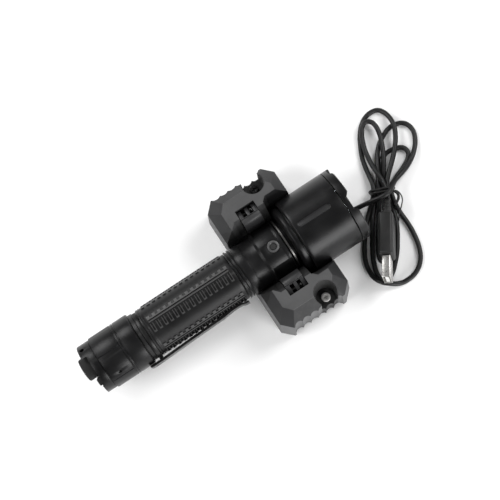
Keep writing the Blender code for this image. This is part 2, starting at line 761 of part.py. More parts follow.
for side, word in ((1.0, "left"), (-1.0, "right")):
    for step in range(6):
        groove = rod("scallop_%s_%d" % (word, step),
                     (scallop_start + scallop_pitch * step,
                      side * (wall_half_y + scallop_radius - scallop_depth),
                      wing_height / 2.0), scallop_radius, 0.060, (0.0, 0.0, 1.0), 20)
        cut(cradle_body, groove)
    recess = rod("screw_recess_" + word,
                 (wall_screw_x, side * wall_screw_y, wall_screw_floor + 0.015),
                 recess_radius, 0.030, (0.0, 0.0, 1.0), 28)
    mouth = box("recess_mouth_" + word,
                (wall_screw_x - recess_radius + 0.0005,
                 min(side * wall_screw_y, side * 0.045), wall_screw_floor),
                (wall_screw_x + recess_radius - 0.0005,
                 max(side * wall_screw_y, side * 0.045), wing_height + 0.004))
    low_mouth = box("recess_low_mouth_" + word,
                    (wall_screw_x - recess_radius + 0.0008,
                     min(side * 0.0372, side * 0.045), 0.0090),
                    (wall_screw_x + recess_radius - 0.0008,
                     max(side * 0.0372, side * 0.045), wall_screw_floor + 0.0013))
    screw_hole = rod("screw_hole_" + word,
                     (wall_screw_x, side * wall_screw_y, wall_screw_floor / 2.0),
                     0.0014, wall_screw_floor + 0.004, (0.0, 0.0, 1.0), 16)
    window = box("jaw_window_" + word,
                 (jaw_middle - jaw_length / 2.0 - jaw_side_gap,
                  min(side * 0.0105, side * window_outer), window_floor),
                 (jaw_middle + jaw_length / 2.0 + jaw_side_gap,
                  max(side * 0.0105, side * window_outer), wing_height + 0.004))
    pin_hole = rod("pin_hole_" + word, (jaw_middle, side * pin_y, pin_z),
                   pin_radius + pin_hole_gap, pin_length + 2.0 * rest_gap,
                   (1.0, 0.0, 0.0), 16)
    wing_pocket = box("wing_pocket_" + word,
                      (-0.0165, min(side * 0.0285, side * 0.0355), -0.002),
                      (-0.0010, max(side * 0.0285, side * 0.0355), 0.0260))
    cut(cradle_body, recess, mouth, low_mouth, screw_hole, window, pin_hole, wing_pocket)

    rod("jaw_pin_" + word, (jaw_middle, side * pin_y, pin_z), pin_radius, pin_length,
        (1.0, 0.0, 0.0), 16, bright_steel, parts)

    jaw_outline = [
        (0.0250, 0.0362), (0.0222, 0.0372), (0.0200, 0.0382), (0.0182, 0.0380),
        (0.0168, 0.0366), (0.0152, 0.0330), (0.0146, 0.0300),
        (0.0146, 0.0210), (0.0175, 0.0200), (0.0190, 0.0260), (0.0204, 0.0304),
        (0.0222, 0.0318), (0.0244, 0.0320), (0.0252, 0.0340),
    ]
    jaw = long_prism("jaw_" + word,
                     [(side * y, z) for y, z in jaw_outline],
                     jaw_middle - jaw_length / 2.0, jaw_middle + jaw_length / 2.0,
                     cradle_plastic)
    jaw_bore = rod("jaw_bore_" + word, (jaw_middle, side * pin_y, pin_z),
                   pin_radius + pin_hole_gap, 0.020, (1.0, 0.0, 0.0), 16)
    cut(jaw, jaw_bore)
    for number, offset in enumerate((-0.0020, 0.0020)):
        knuckle_gap = box("knuckle_gap_%s_%d" % (word, number),
                          (jaw_middle + offset - 0.0011, min(side * 0.0208, side * 0.030), 0.028),
                          (jaw_middle + offset + 0.0011, max(side * 0.0208, side * 0.030), 0.042))
        cut(jaw, knuckle_gap)

    spring_points = []
    for step in range(25):
        angle = math.tau * step / 10.0
        spring_points.append((
            jaw_middle + 0.0020 - 0.00062 + 0.00124 * step / 24.0,
            side * pin_y + 0.00155 * math.cos(angle), pin_z + 0.00155 * math.sin(angle)))
    wire("jaw_spring_" + word, spring_points, 0.00022, spring_steel, detail=1)

    head_rod = rod("case_screw_" + word,
                   (wall_screw_x, side * wall_screw_y, wall_screw_floor + rest_gap + 0.0011),
                   0.0024, 0.0022, (0.0, 0.0, 1.0), 24, bright_steel, parts)
    shank = rod("screw_shank_" + word,
                (wall_screw_x, side * wall_screw_y, (wall_screw_floor + 0.0023) / 2.0),
                0.0011, wall_screw_floor - 0.0007, (0.0, 0.0, 1.0), 16)
    combine(head_rod, shank, "UNION")
    drive = box("screw_drive_%s" % word,
                (wall_screw_x - 0.0014, side * wall_screw_y - 0.0003,
                 wall_screw_floor + 0.0016),
                (wall_screw_x + 0.0014, side * wall_screw_y + 0.0003,
                 wall_screw_floor + 0.0040))
    drive_across = box("screw_drive_across_%s" % word,
                       (wall_screw_x - 0.0003, side * wall_screw_y - 0.0014,
                        wall_screw_floor + 0.0016),
                       (wall_screw_x + 0.0003, side * wall_screw_y + 0.0014,
                        wall_screw_floor + 0.0040))
    cut(head_rod, drive, drive_across)

board_space = box("board_space", (-0.0170, -0.0170, -0.002), (0.0035, 0.0170, 0.0080))
gland_space = box("gland_space", (0.0177, -0.0038, -0.001), (0.0240, 0.0038, 0.0060))
cut(cradle_body, board_space, gland_space)
contact_stations = (-0.0050, 0.0020)
for number, station in enumerate(contact_stations):
    contact_hole = rod("contact_hole_%d" % number, (station, 0.0, 0.0090),
                       contact_radius + contact_hole_gap, 0.0060, (0.0, 0.0, 1.0), 16)
    cut(cradle_body, contact_hole)
contact_top = axis_height - housing_radius - rest_gap
contact_low = 0.0072
for name, station in zip(("charge_pin_rear", "charge_pin_front"), contact_stations):
    rod(name, (station, 0.0, (contact_top + contact_low) / 2.0), contact_radius,
        contact_top - contact_low, (0.0, 0.0, 1.0), 16, gold, parts)
box("cradle_board", (-0.0160, -0.0150, board_height),
    (0.0025, 0.0150, board_height + board_thickness), board_green, parts)

base_plate = prism("base_plate", octagon(base_half_x - 0.0005, base_half_y - 0.0012, corner_cut),
                   0.0, plate_thickness, cradle_plastic)
plate_notch = box("plate_notch", (0.0177, -0.0038, -0.001), (0.0240, 0.0038, 0.0060))
cut(base_plate, plate_notch)
for side, word in ((1.0, "left"), (-1.0, "right")):
    thread_hole = rod("thread_hole_" + word, (wall_screw_x, side * wall_screw_y, 0.0022),
                      0.0014, 0.0030, (0.0, 0.0, 1.0), 16)
    cut(base_plate, thread_hole)

# ---- lead ----------------------------------------------------------------------------------
gland_end = 0.0262
gland = lofted("cord_gland", [
    [(0.0180, y, z) for y, z in ((-0.0035, 0.0003), (0.0035, 0.0003),
                                 (0.0035, 0.0039), (-0.0035, 0.0039))],
    [(0.0218, y, z) for y, z in ((-0.0035, 0.0003), (0.0035, 0.0003),
                                 (0.0035, 0.0039), (-0.0035, 0.0039))],
    [(gland_end, y, z) for y, z in ((-0.0020, 0.0004), (0.0020, 0.0004),
                                    (0.0020, 0.0038), (-0.0020, 0.0038))],
], black_rubber)

waist = Vector((0.0645, -0.0014, 0.0))
across = Vector((0.831, -0.557, 0.0))


def at_waist(along, sideways):
    spot = waist + plug_direction * along + across * sideways
    return (spot.x, spot.y)


hank_outline = [
    (0.0590, 0.0010), (0.0616, 0.0085), (0.0632, 0.0160), (0.0652, 0.0225),
    (0.0684, 0.0285), (0.0718, 0.0335), (0.0760, 0.0372), (0.0806, 0.0394),
    (0.0850, 0.0397), (0.0890, 0.0384), (0.0916, 0.0352), (0.0924, 0.0305),
    (0.0935, 0.0270), (0.0970, 0.0238), (0.0988, 0.0195), (0.0985, 0.0150),
    (0.0960, 0.0105), (0.0925, 0.0064), (0.0880, 0.0034), (0.0820, 0.0006),
    (0.0740, -0.0025), (0.0695, -0.0070), (0.0684, -0.0140), (0.0690, -0.0230),
    (0.0680, -0.0320), (0.0655, -0.0395), (0.0615, -0.0450), (0.0565, -0.0484),
    (0.0500, -0.0497), (0.0440, -0.0484), (0.0380, -0.0450), (0.0342, -0.0395),
    (0.0336, -0.0330), (0.0350, -0.0270), (0.0380, -0.0210), (0.0430, -0.0145),
    (0.0490, -0.0085), (0.0535, -0.0040),
]
hank = prism("cord_hank", hank_outline, hank_bottom, hank_top, cord_vinyl)
tie_half = 0.0022
band_outline = [
    at_waist(-tie_half - rest_gap, -0.020), at_waist(-tie_half - rest_gap, 0.020),
    at_waist(tie_half + rest_gap, 0.020), at_waist(tie_half + rest_gap, -0.020),
]
band_low = prism("band_low", band_outline, -0.001, 0.0011, None, guides)
band_high = prism("band_high", band_outline, hank_top - 0.0009, hank_top + 0.004, None, guides)
band_left = prism("band_left", [
    at_waist(-tie_half - rest_gap, -0.020), at_waist(-tie_half - rest_gap, -0.0056),
    at_waist(tie_half + rest_gap, -0.0056), at_waist(tie_half + rest_gap, -0.020),
], -0.001, 0.012, None, guides)
band_right = prism("band_right", [
    at_waist(-tie_half - rest_gap, 0.0056), at_waist(-tie_half - rest_gap, 0.020),
    at_waist(tie_half + rest_gap, 0.020), at_waist(tie_half + rest_gap, 0.0056),
], -0.001, 0.012, None, guides)
plug_side = Vector((-plug_direction.y, plug_direction.x, 0.0))


def along_plug(distance, sideways):
    spot = plug_rear - plug_direction * distance + plug_side * sideways
    return (spot.x, spot.y)


def tilt_plug(item):
    """Lean a piece that was made upright over with the plug, about its lower rear edge."""
    pivot = Matrix.Translation((plug_rear.x, plug_rear.y, plug_bottom))
    lean = Matrix.Rotation(math.radians(plug_roll), 4, -plug_direction)
    lift = Matrix.Rotation(math.radians(plug_pitch), 4, plug_side)
    item.matrix_world = pivot @ lift @ lean @ pivot.inverted() @ item.matrix_basis
    return item


def plug_block(name, near, far, half_thick, low, high, surface, target=parts):
    return tilt_plug(prism(name, [
        along_plug(near, -half_thick), along_plug(far, -half_thick),
        along_plug(far, half_thick), along_plug(near, half_thick),
    ], low, high, surface, target))


plug_bed = plug_block("plug_bed", -0.0120, 0.060, housing_thick / 2.0 + 0.0008,
                      plug_bottom - rest_gap, hank_top + 0.010, None, guides)
tail_bed = prism("tail_bed", [
    along_plug(-0.0134, -0.0020), along_plug(0.0010, -0.0020),
    along_plug(0.0010, 0.0020), along_plug(-0.0134, 0.0020),
], 0.0040, hank_top + 0.010, None, guides)
cut(hank, band_low, band_high, band_left, band_right, plug_bed, tail_bed)

tie_outer = prism("twist_tie", [
    at_waist(-tie_half, -0.0064), at_waist(-tie_half, 0.0064),
    at_waist(tie_half, 0.0064), at_waist(tie_half, -0.0064),
], 0.0002, hank_top + 0.0008, tie_vinyl)
tie_inner = prism("tie_inner", [
    at_waist(-0.010, -0.0059), at_waist(-0.010, 0.0059),
    at_waist(0.010, 0.0059), at_waist(0.010, -0.0059),
], 0.0008, hank_top - 0.0006, None, guides)
cut(tie_outer, tie_inner)
tie_tail = prism("tie_tail", [
    at_waist(0.0006, 0.0060), at_waist(-0.0090, 0.0124), at_waist(-0.0104, 0.0112),
    at_waist(-0.0012, 0.0050),
], hank_top + rest_gap, hank_top + 0.0013, None, guides)
combine(tie_outer, tie_tail, "UNION")

cord_start = Vector((gland_end + rest_gap, 0.0, cord_height))
cord_points = []
route = [
    (cord_start.x, 0.0, cord_height), (0.0330, -0.0002, cord_height),
    (0.0400, -0.0008, cord_height), (0.0455, -0.0014, 0.0026),
    (0.0505, -0.0022, 0.0042),
]
for i in range(len(route) - 1):
    for part in range(2):
        cord_points.append(Vector(route[i]).lerp(Vector(route[i + 1]), part / 2.0))
cord_points.append(Vector(route[-1]))
wire("cord_lead", cord_points, cord_radius, cord_vinyl)

plug_middle = plug_bottom + housing_tall / 2.0
relief_axis = [(0.0003, 0.0, 0.0027), (0.0034, 0.0002, 0.0023), (0.0066, 0.0010, 0.0020),
               (0.0096, 0.0022, 0.0017)]
relief_rings = []
for distance, drop, half in relief_axis:
    x, y = along_plug(-distance, 0.0)
    ring = []
    for step in range(12):
        angle = math.tau * step / 12.0
        side_step = plug_side * (half * math.cos(angle))
        ring.append((x + side_step.x, y + side_step.y,
                     plug_middle - drop + half * math.sin(angle)))
    relief_rings.append(ring)
tilt_plug(lofted("usb_strain_relief", relief_rings, black_rubber))
tail_route = [(0.0104, -0.0025), (0.0111, -0.0027), (0.0118, -0.0029)]
tail_points = []
for distance, drop in tail_route:
    x, y = along_plug(-distance, 0.0)
    tail_points.append((x, y, plug_middle + drop))
tilt_plug(wire("cord_tail", tail_points, cord_radius, cord_vinyl))

usb_housing = plug_block("usb_housing", 0.0, housing_long, housing_thick / 2.0,
                         plug_bottom, plug_bottom + housing_tall, cord_vinyl)
soften = usb_housing.modifiers.new("soft_edges", "BEVEL")
soften.width = 0.0014
soften.segments = 2
shell_near = housing_long + rest_gap
shell_low = plug_middle - shell_tall / 2.0
usb_shell = plug_block("usb_shell", shell_near, shell_near + shell_long, shell_thick / 2.0,
                       shell_low, shell_low + shell_tall, contact_nickel)
shell_mouth = plug_block("shell_mouth", shell_near + 0.0010, shell_near + shell_long + 0.002,
                         shell_thick / 2.0 - shell_wall, shell_low + shell_wall,
                         shell_low + shell_tall - shell_wall, None, guides)
cut(usb_shell, shell_mouth)
plug_block("usb_insert", shell_near + 0.0013, shell_near + shell_long - 0.0006,
           0.0009, shell_low + shell_wall + 0.0003,
           shell_low + shell_tall - shell_wall - 0.0003, insert_plastic)

for item in parts.objects:
    if item.type == "MESH":
        smooth(item)
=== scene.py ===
import bpy
import math
from mathutils import Matrix, Vector


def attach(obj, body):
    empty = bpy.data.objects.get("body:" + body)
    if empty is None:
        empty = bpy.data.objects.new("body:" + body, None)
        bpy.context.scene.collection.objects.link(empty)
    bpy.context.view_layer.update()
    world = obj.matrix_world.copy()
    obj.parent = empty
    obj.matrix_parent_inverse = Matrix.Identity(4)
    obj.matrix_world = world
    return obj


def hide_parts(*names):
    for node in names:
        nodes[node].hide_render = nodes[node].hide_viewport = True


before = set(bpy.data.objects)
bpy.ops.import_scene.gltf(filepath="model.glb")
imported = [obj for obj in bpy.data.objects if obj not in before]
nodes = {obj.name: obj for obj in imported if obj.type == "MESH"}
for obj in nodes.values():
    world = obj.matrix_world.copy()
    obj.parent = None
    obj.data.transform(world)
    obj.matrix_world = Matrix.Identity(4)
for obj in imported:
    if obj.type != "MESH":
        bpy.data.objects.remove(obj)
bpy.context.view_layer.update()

scene = bpy.context.scene
mm = 0.001
axisZ = 0.025    # the light's axis above the table
axisUp = 25    # the same height in mm

print("stage: camera")
cameraSetup = {
    "target": (-0.0121, 0.0074, 0.025), "distance": 0.70,
    "leanX": 0.0426, "leanY": 0.1693, "roll": 33.15, "lens": 97.8,
}


def makeCamera(setup):
    back = Vector((-setup["leanX"], -setup["leanY"], 1.0)).normalized()
    flatX = (Vector((1, 0, 0)) - back * back.x).normalized()
    flatY = back.cross(flatX)
    roll = math.radians(setup["roll"])
    right = flatX * math.cos(roll) - flatY * math.sin(roll)
    up = back.cross(right)
    data = bpy.data.cameras.new("mainCamera")
    data.lens = setup["lens"]
    data.sensor_width = 36.0
    data.clip_start = 0.01
    data.clip_end = 20.0
    item = bpy.data.objects.new("mainCamera", data)
    scene.collection.objects.link(item)
    turn = Matrix((right, up, back)).transposed().to_4x4()
    item.matrix_world = Matrix.Translation(Vector(setup["target"]) + back * setup["distance"]) @ turn
    scene.camera = item


makeCamera(cameraSetup)

print("stage: materials")


def newMaterial(name):
    made = bpy.data.materials.new(name)
    made.use_nodes = True
    tree = made.node_tree
    return made, tree, tree.nodes["Principled BSDF"]


def objectPattern(tree, scale, stretch=(1, 1, 1), detail=4.0, kind="noise", turn=(0, 0, 0)):
    place = tree.nodes.new("ShaderNodeTexCoord")
    fit = tree.nodes.new("ShaderNodeMapping")
    fit.inputs["Scale"].default_value = stretch
    fit.inputs["Rotation"].default_value = turn
    tree.links.new(place.outputs["Object"], fit.inputs["Vector"])
    made = tree.nodes.new("ShaderNodeTexNoise" if kind == "noise" else "ShaderNodeTexVoronoi")
    made.inputs["Scale"].default_value = scale
    if kind == "noise":
        made.inputs["Detail"].default_value = detail
    tree.links.new(fit.outputs["Vector"], made.inputs["Vector"])
    return made.outputs["Fac"] if kind == "noise" else made.outputs["Distance"]


def ramp(tree, source, low, high, lowColour, highColour):
    made = tree.nodes.new("ShaderNodeValToRGB")
    made.color_ramp.elements[0].position = low
    made.color_ramp.elements[1].position = high
    made.color_ramp.elements[0].color = (*lowColour, 1)
    made.color_ramp.elements[1].color = (*highColour, 1)
    tree.links.new(source, made.inputs["Fac"])
    return made.outputs["Color"]


def spread(tree, source, low, high):
    made = tree.nodes.new("ShaderNodeMapRange")
    made.inputs["To Min"].default_value = low
    made.inputs["To Max"].default_value = high
    tree.links.new(source, made.inputs["Value"])
    return made.outputs["Result"]


def bump(tree, source, strength, distance, under=None):
    made = tree.nodes.new("ShaderNodeBump")
    made.inputs["Strength"].default_value = strength
    made.inputs["Distance"].default_value = distance
    tree.links.new(source, made.inputs["Height"])
    if under is not None:
        tree.links.new(under, made.inputs["Normal"])
    return made.outputs["Normal"]


def mixColour(tree, factor, first, second):
    made = tree.nodes.new("ShaderNodeMix")
    made.data_type = "RGBA"
    tree.links.new(factor, made.inputs[0])
    for value, socket in ((first, made.inputs[6]), (second, made.inputs[7])):
        if isinstance(value, tuple):
            socket.default_value = (*value, 1)
        else:
            tree.links.new(value, socket)
    return made.outputs[2]


def mathNode(tree, operation, *sources):
    made = tree.nodes.new("ShaderNodeMath")
    made.operation = operation
    for source, socket in zip(sources, made.inputs):
        tree.links.new(source, socket)
    return made.outputs["Value"]


def between(tree, source, low, high, strongest=1.0):    # 0 below low, strongest above high
    made = tree.nodes.new("ShaderNodeMapRange")
    made.inputs["From Min"].default_value = low
    made.inputs["From Max"].default_value = high
    made.inputs["To Max"].default_value = strongest
    tree.links.new(source, made.inputs["Value"])
    return made.outputs["Result"]


def worn(tree, base, wearColour, amount):    # lighter rubbed corners, broken up by noise
    shape = tree.nodes.new("ShaderNodeNewGeometry")
    edge = spread(tree, shape.outputs["Pointiness"], 0.0, 1.0)
    both = mathNode(tree, "MULTIPLY", between(tree, edge, 0.53, 0.66, amount),
                    objectPattern(tree, 420.0, detail=6.0))
    return mixColour(tree, both, base, wearColour)


def fromAxis(tree):    # distance from the light's axis, in mm
    place = tree.nodes.new("ShaderNodeTexCoord")
    shift = tree.nodes.new("ShaderNodeVectorMath")
    shift.inputs[1].default_value = (0, 0, -axisZ)
    flat = tree.nodes.new("ShaderNodeVectorMath")
    flat.operation = "MULTIPLY"
    flat.inputs[1].default_value = (0, 1000, 1000)
    away = tree.nodes.new("ShaderNodeVectorMath")
    away.operation = "LENGTH"
    tree.links.new(place.outputs["Object"], shift.inputs[0])
    tree.links.new(shift.outputs["Vector"], flat.inputs[0])
    tree.links.new(flat.outputs["Vector"], away.inputs[0])
    return place, away.outputs["Value"]


def paintedRibHighlight(tree, colour, cloud):    # painted highlight: the raised ribs of the grip are painted lighter, where light catches their raised faces
    place, away = fromAxis(tree)
    raised = between(tree, away, 13.45, 13.70, 0.75)
    return mixColour(tree, raised, colour, (0.060, 0.060, 0.060))


def slotFloor(tree, colour, cloud):    # the floor of the long slot is a little lighter
    place, away = fromAxis(tree)
    above = between(tree, away, 19.30, 19.45)
    inSlot = mixColour(tree, between(tree, away, 19.75, 19.95), (0.030, 0.030, 0.031), colour)
    return mixColour(tree, above, colour, inSlot)


def paintedCradleLightAndShade(tree, colour, cloud):    # painted light and shade on the cradle: the walls a lighter grey as painted light from the floor, the bevel band darker as painted shade, the trough and the screw recesses near-black as painted shade, the top panel the plain grey, all broken up by noise
    place, away = fromAxis(tree)
    height = tree.nodes.new("ShaderNodeSeparateXYZ")
    tree.links.new(place.outputs["Object"], height.inputs["Vector"])
    # painted light on the walls below the bevel, painted shade on the bevel band, plain grey on the top
    bevel = mixColour(tree, between(tree, height.outputs["Z"], 0.0288, 0.0296), (0.125, 0.125, 0.127),
                      (0.019, 0.019, 0.020))
    top = mixColour(tree, between(tree, height.outputs["Z"], 0.0386, 0.0388), bevel, (0.060, 0.060, 0.061))
    # painted shade: inside the troughs the plastic is painted near-black
    endFace = mathNode(tree, "ABSOLUTE", height.outputs["X"])
    outside = mathNode(tree, "MAXIMUM", between(tree, away, 21.8, 22.4),
                       between(tree, endFace, 0.0202, 0.0204))
    fold = mathNode(tree, "ABSOLUTE", height.outputs["Y"])
    flat = tree.nodes.new("ShaderNodeCombineXYZ")
    tree.links.new(height.outputs["X"], flat.inputs["X"])
    tree.links.new(fold, flat.inputs["Y"])
    well = tree.nodes.new("ShaderNodeVectorMath")
    well.operation = "DISTANCE"
    well.inputs[1].default_value = (0.0073, 0.0339, 0)    # the middle of a screw recess
    tree.links.new(flat.outputs["Vector"], well.inputs[0])
    # painted shade: the screw recesses are painted near-black
    top = mixColour(tree, between(tree, well.outputs["Value"], 0.0060, 0.0066), (0.010, 0.010, 0.010), top)
    outer = mixColour(tree, outside, (0.009, 0.009, 0.009), top)
    both = tree.nodes.new("ShaderNodeMix")
    both.data_type = "RGBA"
    both.blend_type = "MULTIPLY"
    both.inputs[0].default_value = 1.0
    tree.links.new(outer, both.inputs[6])
    tree.links.new(ramp(tree, cloud, 0.3, 0.7, (0.82, 0.82, 0.82), (1, 1, 1)), both.inputs[7])
    return both.outputs[2]


finishes = {
    "gripAnodised": {"dark": (0.0038, 0.0038, 0.0040), "light": (0.0085, 0.0085, 0.0088), "metallic": 0.2,
                     "rough": (0.32, 0.46), "grain": 5200.0, "depth": 0.00003, "wear": 0.35,
                     "wearColour": (0.12, 0.12, 0.12), "zones": paintedRibHighlight},
    "anodised": {"dark": (0.0040, 0.0040, 0.0043), "light": (0.0090, 0.0090, 0.0094), "metallic": 0.3,
                 "rough": (0.27, 0.40), "grain": 5200.0, "depth": 0.00003, "wear": 0.35,
                 "wearColour": (0.11, 0.11, 0.11)},
    "cradlePlastic": {"dark": (0.034, 0.034, 0.035), "light": (0.046, 0.046, 0.047), "metallic": 0.0,
                      "rough": (0.50, 0.64), "grain": 2600.0, "depth": 0.00005, "wear": 0.25,
                      "zones": paintedCradleLightAndShade,
                      "wearColour": (0.10, 0.10, 0.10)},
    "jawPlastic": {"dark": (0.018, 0.018, 0.019), "light": (0.030, 0.030, 0.031), "metallic": 0.0,
                   "rough": (0.36, 0.50), "grain": 2400.0, "depth": 0.00004, "wear": 0.2,
                   "wearColour": (0.09, 0.09, 0.09)},
    "blackRubber": {"dark": (0.008, 0.008, 0.008), "light": (0.016, 0.016, 0.016), "metallic": 0.0,
                    "rough": (0.58, 0.75), "grain": 3000.0, "depth": 0.00005, "wear": 0.1,
                    "wearColour": (0.05, 0.05, 0.05)},
    "clipSteel": {"dark": (0.008, 0.008, 0.008), "light": (0.016, 0.016, 0.016), "metallic": 0.6,
                  "rough": (0.26, 0.38), "grain": 4200.0, "depth": 0.00002, "wear": 0.6,
                  "wearColour": (0.22, 0.22, 0.22)},
    "leadVinyl": {"dark": (0.006, 0.006, 0.0062), "light": (0.011, 0.011, 0.0112), "metallic": 0.0,
                  "rough": (0.34, 0.46), "grain": 1800.0, "depth": 0.00003, "wear": 0.0,
                  "wearColour": (0.05, 0.05, 0.05)},
    "tieVinyl": {"dark": (0.006, 0.006, 0.006), "light": (0.011, 0.011, 0.011), "metallic": 0.0,
                 "rough": (0.42, 0.56), "grain": 2400.0, "depth": 0.00003, "wear": 0.0,
                 "wearColour": (0.04, 0.04, 0.04)},
    "plugPlastic": {"dark": (0.012, 0.012, 0.012), "light": (0.020, 0.020, 0.020), "metallic": 0.0,
                    "rough": (0.36, 0.50), "grain": 2600.0, "depth": 0.00003, "wear": 0.15,
                    "wearColour": (0.06, 0.06, 0.06)},
    "switchRing": {"dark": (0.075, 0.075, 0.076), "light": (0.120, 0.120, 0.122), "metallic": 0.7,
                   "rough": (0.28, 0.38), "grain": 5000.0, "depth": 0.00001, "wear": 0.5,
                   "wearColour": (0.30, 0.30, 0.30)},
}
finishes["headAnodised"] = {**finishes["anodised"], "zones": slotFloor}


def darkFinish(name, look):
    made, tree, shader = newMaterial(name)
    cloud = objectPattern(tree, 95.0, detail=5.0)
    fine = objectPattern(tree, look["grain"], detail=3.0)
    cells = objectPattern(tree, look["grain"] * 0.6, kind="cells")
    colour = ramp(tree, cloud, 0.35, 0.68, look["dark"], look["light"])
    if "zones" in look:
        colour = look["zones"](tree, colour, cloud)
    if look["wear"] > 0:
        colour = worn(tree, colour, look["wearColour"], look["wear"])
    tree.links.new(colour, shader.inputs["Base Color"])
    tree.links.new(spread(tree, cloud, *look["rough"]), shader.inputs["Roughness"])
    shader.inputs["Metallic"].default_value = look["metallic"]
    shader.inputs["Specular IOR Level"].default_value = look.get("gloss", 0.3)
    grain = bump(tree, fine, 0.35, look["depth"])
    tree.links.new(bump(tree, cells, 0.25, look["depth"], grain), shader.inputs["Normal"])
    return made


dark = {name: darkFinish(name, look) for name, look in finishes.items()}

metals = {
    "plugNickel": {"dark": (0.55, 0.54, 0.52), "light": (0.70, 0.69, 0.67), "rough": (0.22, 0.36),
                   "streak": (1, 1, 9)},
    "screwSteel": {"dark": (0.52, 0.51, 0.50), "light": (0.74, 0.73, 0.71), "metallic": 0.35,
                   "rough": (0.34, 0.5),
                   "streak": (1, 1, 1)},
    "contactNickel": {"dark": (0.08, 0.08, 0.078), "light": (0.17, 0.165, 0.16), "rough": (0.30, 0.45),
                      "streak": (9, 1, 1)},
    "springSteel": {"dark": (0.34, 0.34, 0.34), "light": (0.50, 0.50, 0.50), "rough": (0.25, 0.4),
                    "streak": (1, 1, 1)},
    "goldPlate": {"dark": (0.70, 0.50, 0.20), "light": (0.86, 0.66, 0.32), "rough": (0.2, 0.34),
                  "streak": (1, 1, 1)},
    "mirrorCoat": {"dark": (0.82, 0.82, 0.82), "light": (0.90, 0.90, 0.90), "rough": (0.06, 0.14),
                   "streak": (1, 1, 1)},
}


def metalFinish(name, look):
    made, tree, shader = newMaterial(name)
    lines = objectPattern(tree, 900.0, stretch=look["streak"], detail=6.0)
    tree.links.new(ramp(tree, lines, 0.3, 0.7, look["dark"], look["light"]), shader.inputs["Base Color"])
    tree.links.new(spread(tree, lines, *look["rough"]), shader.inputs["Roughness"])
    shader.inputs["Metallic"].default_value = look.get("metallic", 1.0)
    tree.links.new(bump(tree, lines, 0.15, 0.00001), shader.inputs["Normal"])
    return made


metal = {name: metalFinish(name, look) for name, look in metals.items()}

innerLooks = {
    "boardGreen": {"dark": (0.012, 0.060, 0.026), "light": (0.022, 0.100, 0.044), "rough": (0.35, 0.5)},
    "starBoard": {"dark": (0.60, 0.58, 0.52), "light": (0.74, 0.72, 0.66), "rough": (0.3, 0.45)},
    "phosphor": {"dark": (0.78, 0.56, 0.08), "light": (0.88, 0.68, 0.14), "rough": (0.4, 0.55)},
    "cellSleeve": {"dark": (0.030, 0.055, 0.14), "light": (0.045, 0.080, 0.19), "rough": (0.3, 0.42)},
    "insertWhite": {"dark": (0.62, 0.62, 0.60), "light": (0.74, 0.74, 0.72), "rough": (0.4, 0.55)},
}


def innerFinish(name, look):
    made, tree, shader = newMaterial(name)
    cloud = objectPattern(tree, 300.0, detail=5.0)
    tree.links.new(ramp(tree, cloud, 0.35, 0.65, look["dark"], look["light"]), shader.inputs["Base Color"])
    tree.links.new(spread(tree, cloud, *look["rough"]), shader.inputs["Roughness"])
    tree.links.new(bump(tree, cloud, 0.2, 0.00002), shader.inputs["Normal"])
    return made


inner = {name: innerFinish(name, look) for name, look in innerLooks.items()}

lensGlass, glassTree, glassShader = newMaterial("coatedGlass")
glassShader.inputs["Transmission Weight"].default_value = 1.0
glassShader.inputs["IOR"].default_value = 1.5
glassCloud = objectPattern(glassTree, 60.0)
glassTree.links.new(ramp(glassTree, glassCloud, 0.3, 0.7, (0.86, 0.92, 0.95), (0.94, 0.97, 1.0)),
                    glassShader.inputs["Base Color"])
glassTree.links.new(spread(glassTree, glassCloud, 0.02, 0.06), glassShader.inputs["Roughness"])

nodeFinish = [
    (dark["anodised"], "tail_cap body_tube neck_housing head_shell bezel_ring tail_retaining_ring"),
    (dark["blackRubber"], "tail_button mode_button side_switch_button tail_o_ring head_o_ring lens_gasket "
                          "cord_gland"),
    (dark["switchRing"], "side_switch_ring"),
    (dark["clipSteel"], "pocket_clip jaw_pin_left jaw_pin_right jaw_spring_left jaw_spring_right"),
    (dark["jawPlastic"], "tail_switch_module jaw_left jaw_right"),
    (metal["springSteel"], "tail_spring"),
    (inner["cellSleeve"], "battery_cell"),
    (metal["plugNickel"], "battery_cap usb_shell"),
    (metal["contactNickel"], "charge_contact_ring"),
    (metal["goldPlate"], "head_spring charge_pin_rear charge_pin_front"),
    (inner["boardGreen"], "driver_board cradle_board"),
    (lensGlass, "lens"),
    (metal["mirrorCoat"], "reflector"),
    (inner["starBoard"], "led_board"),
    (inner["phosphor"], "led_emitter"),
    (dark["cradlePlastic"], "cradle_body base_plate"),
    (metal["screwSteel"], "case_screw_left case_screw_right"),
    (dark["leadVinyl"], "cord_hank cord_lead cord_tail"),
    (dark["tieVinyl"], "twist_tie"),
    (dark["plugPlastic"], "usb_strain_relief usb_housing"),
    (inner["insertWhite"], "usb_insert"),
]
for finish, names in nodeFinish:
    for name in names.split():
        for spot in nodes[name].material_slots:
            spot.material = finish

print("stage: shaping helpers")


def clearAll():
    if bpy.context.object is not None and bpy.context.object.mode != "OBJECT":
        bpy.ops.object.mode_set(mode="OBJECT")
    bpy.ops.object.select_all(action="DESELECT")


def settle(item):    # place, turn and size go into the mesh
    clearAll()
    item.select_set(True)
    bpy.context.view_layer.objects.active = item
    bpy.ops.object.transform_apply(location=True, rotation=True, scale=True)
    return item


def turnAbout(item, degrees):    # about the light's axis, from the top towards +Y
    lift = Matrix.Translation((0, 0, axisZ))
    item.matrix_world = lift @ Matrix.Rotation(math.radians(-degrees), 4, "X") @ lift.inverted()
    return settle(item)


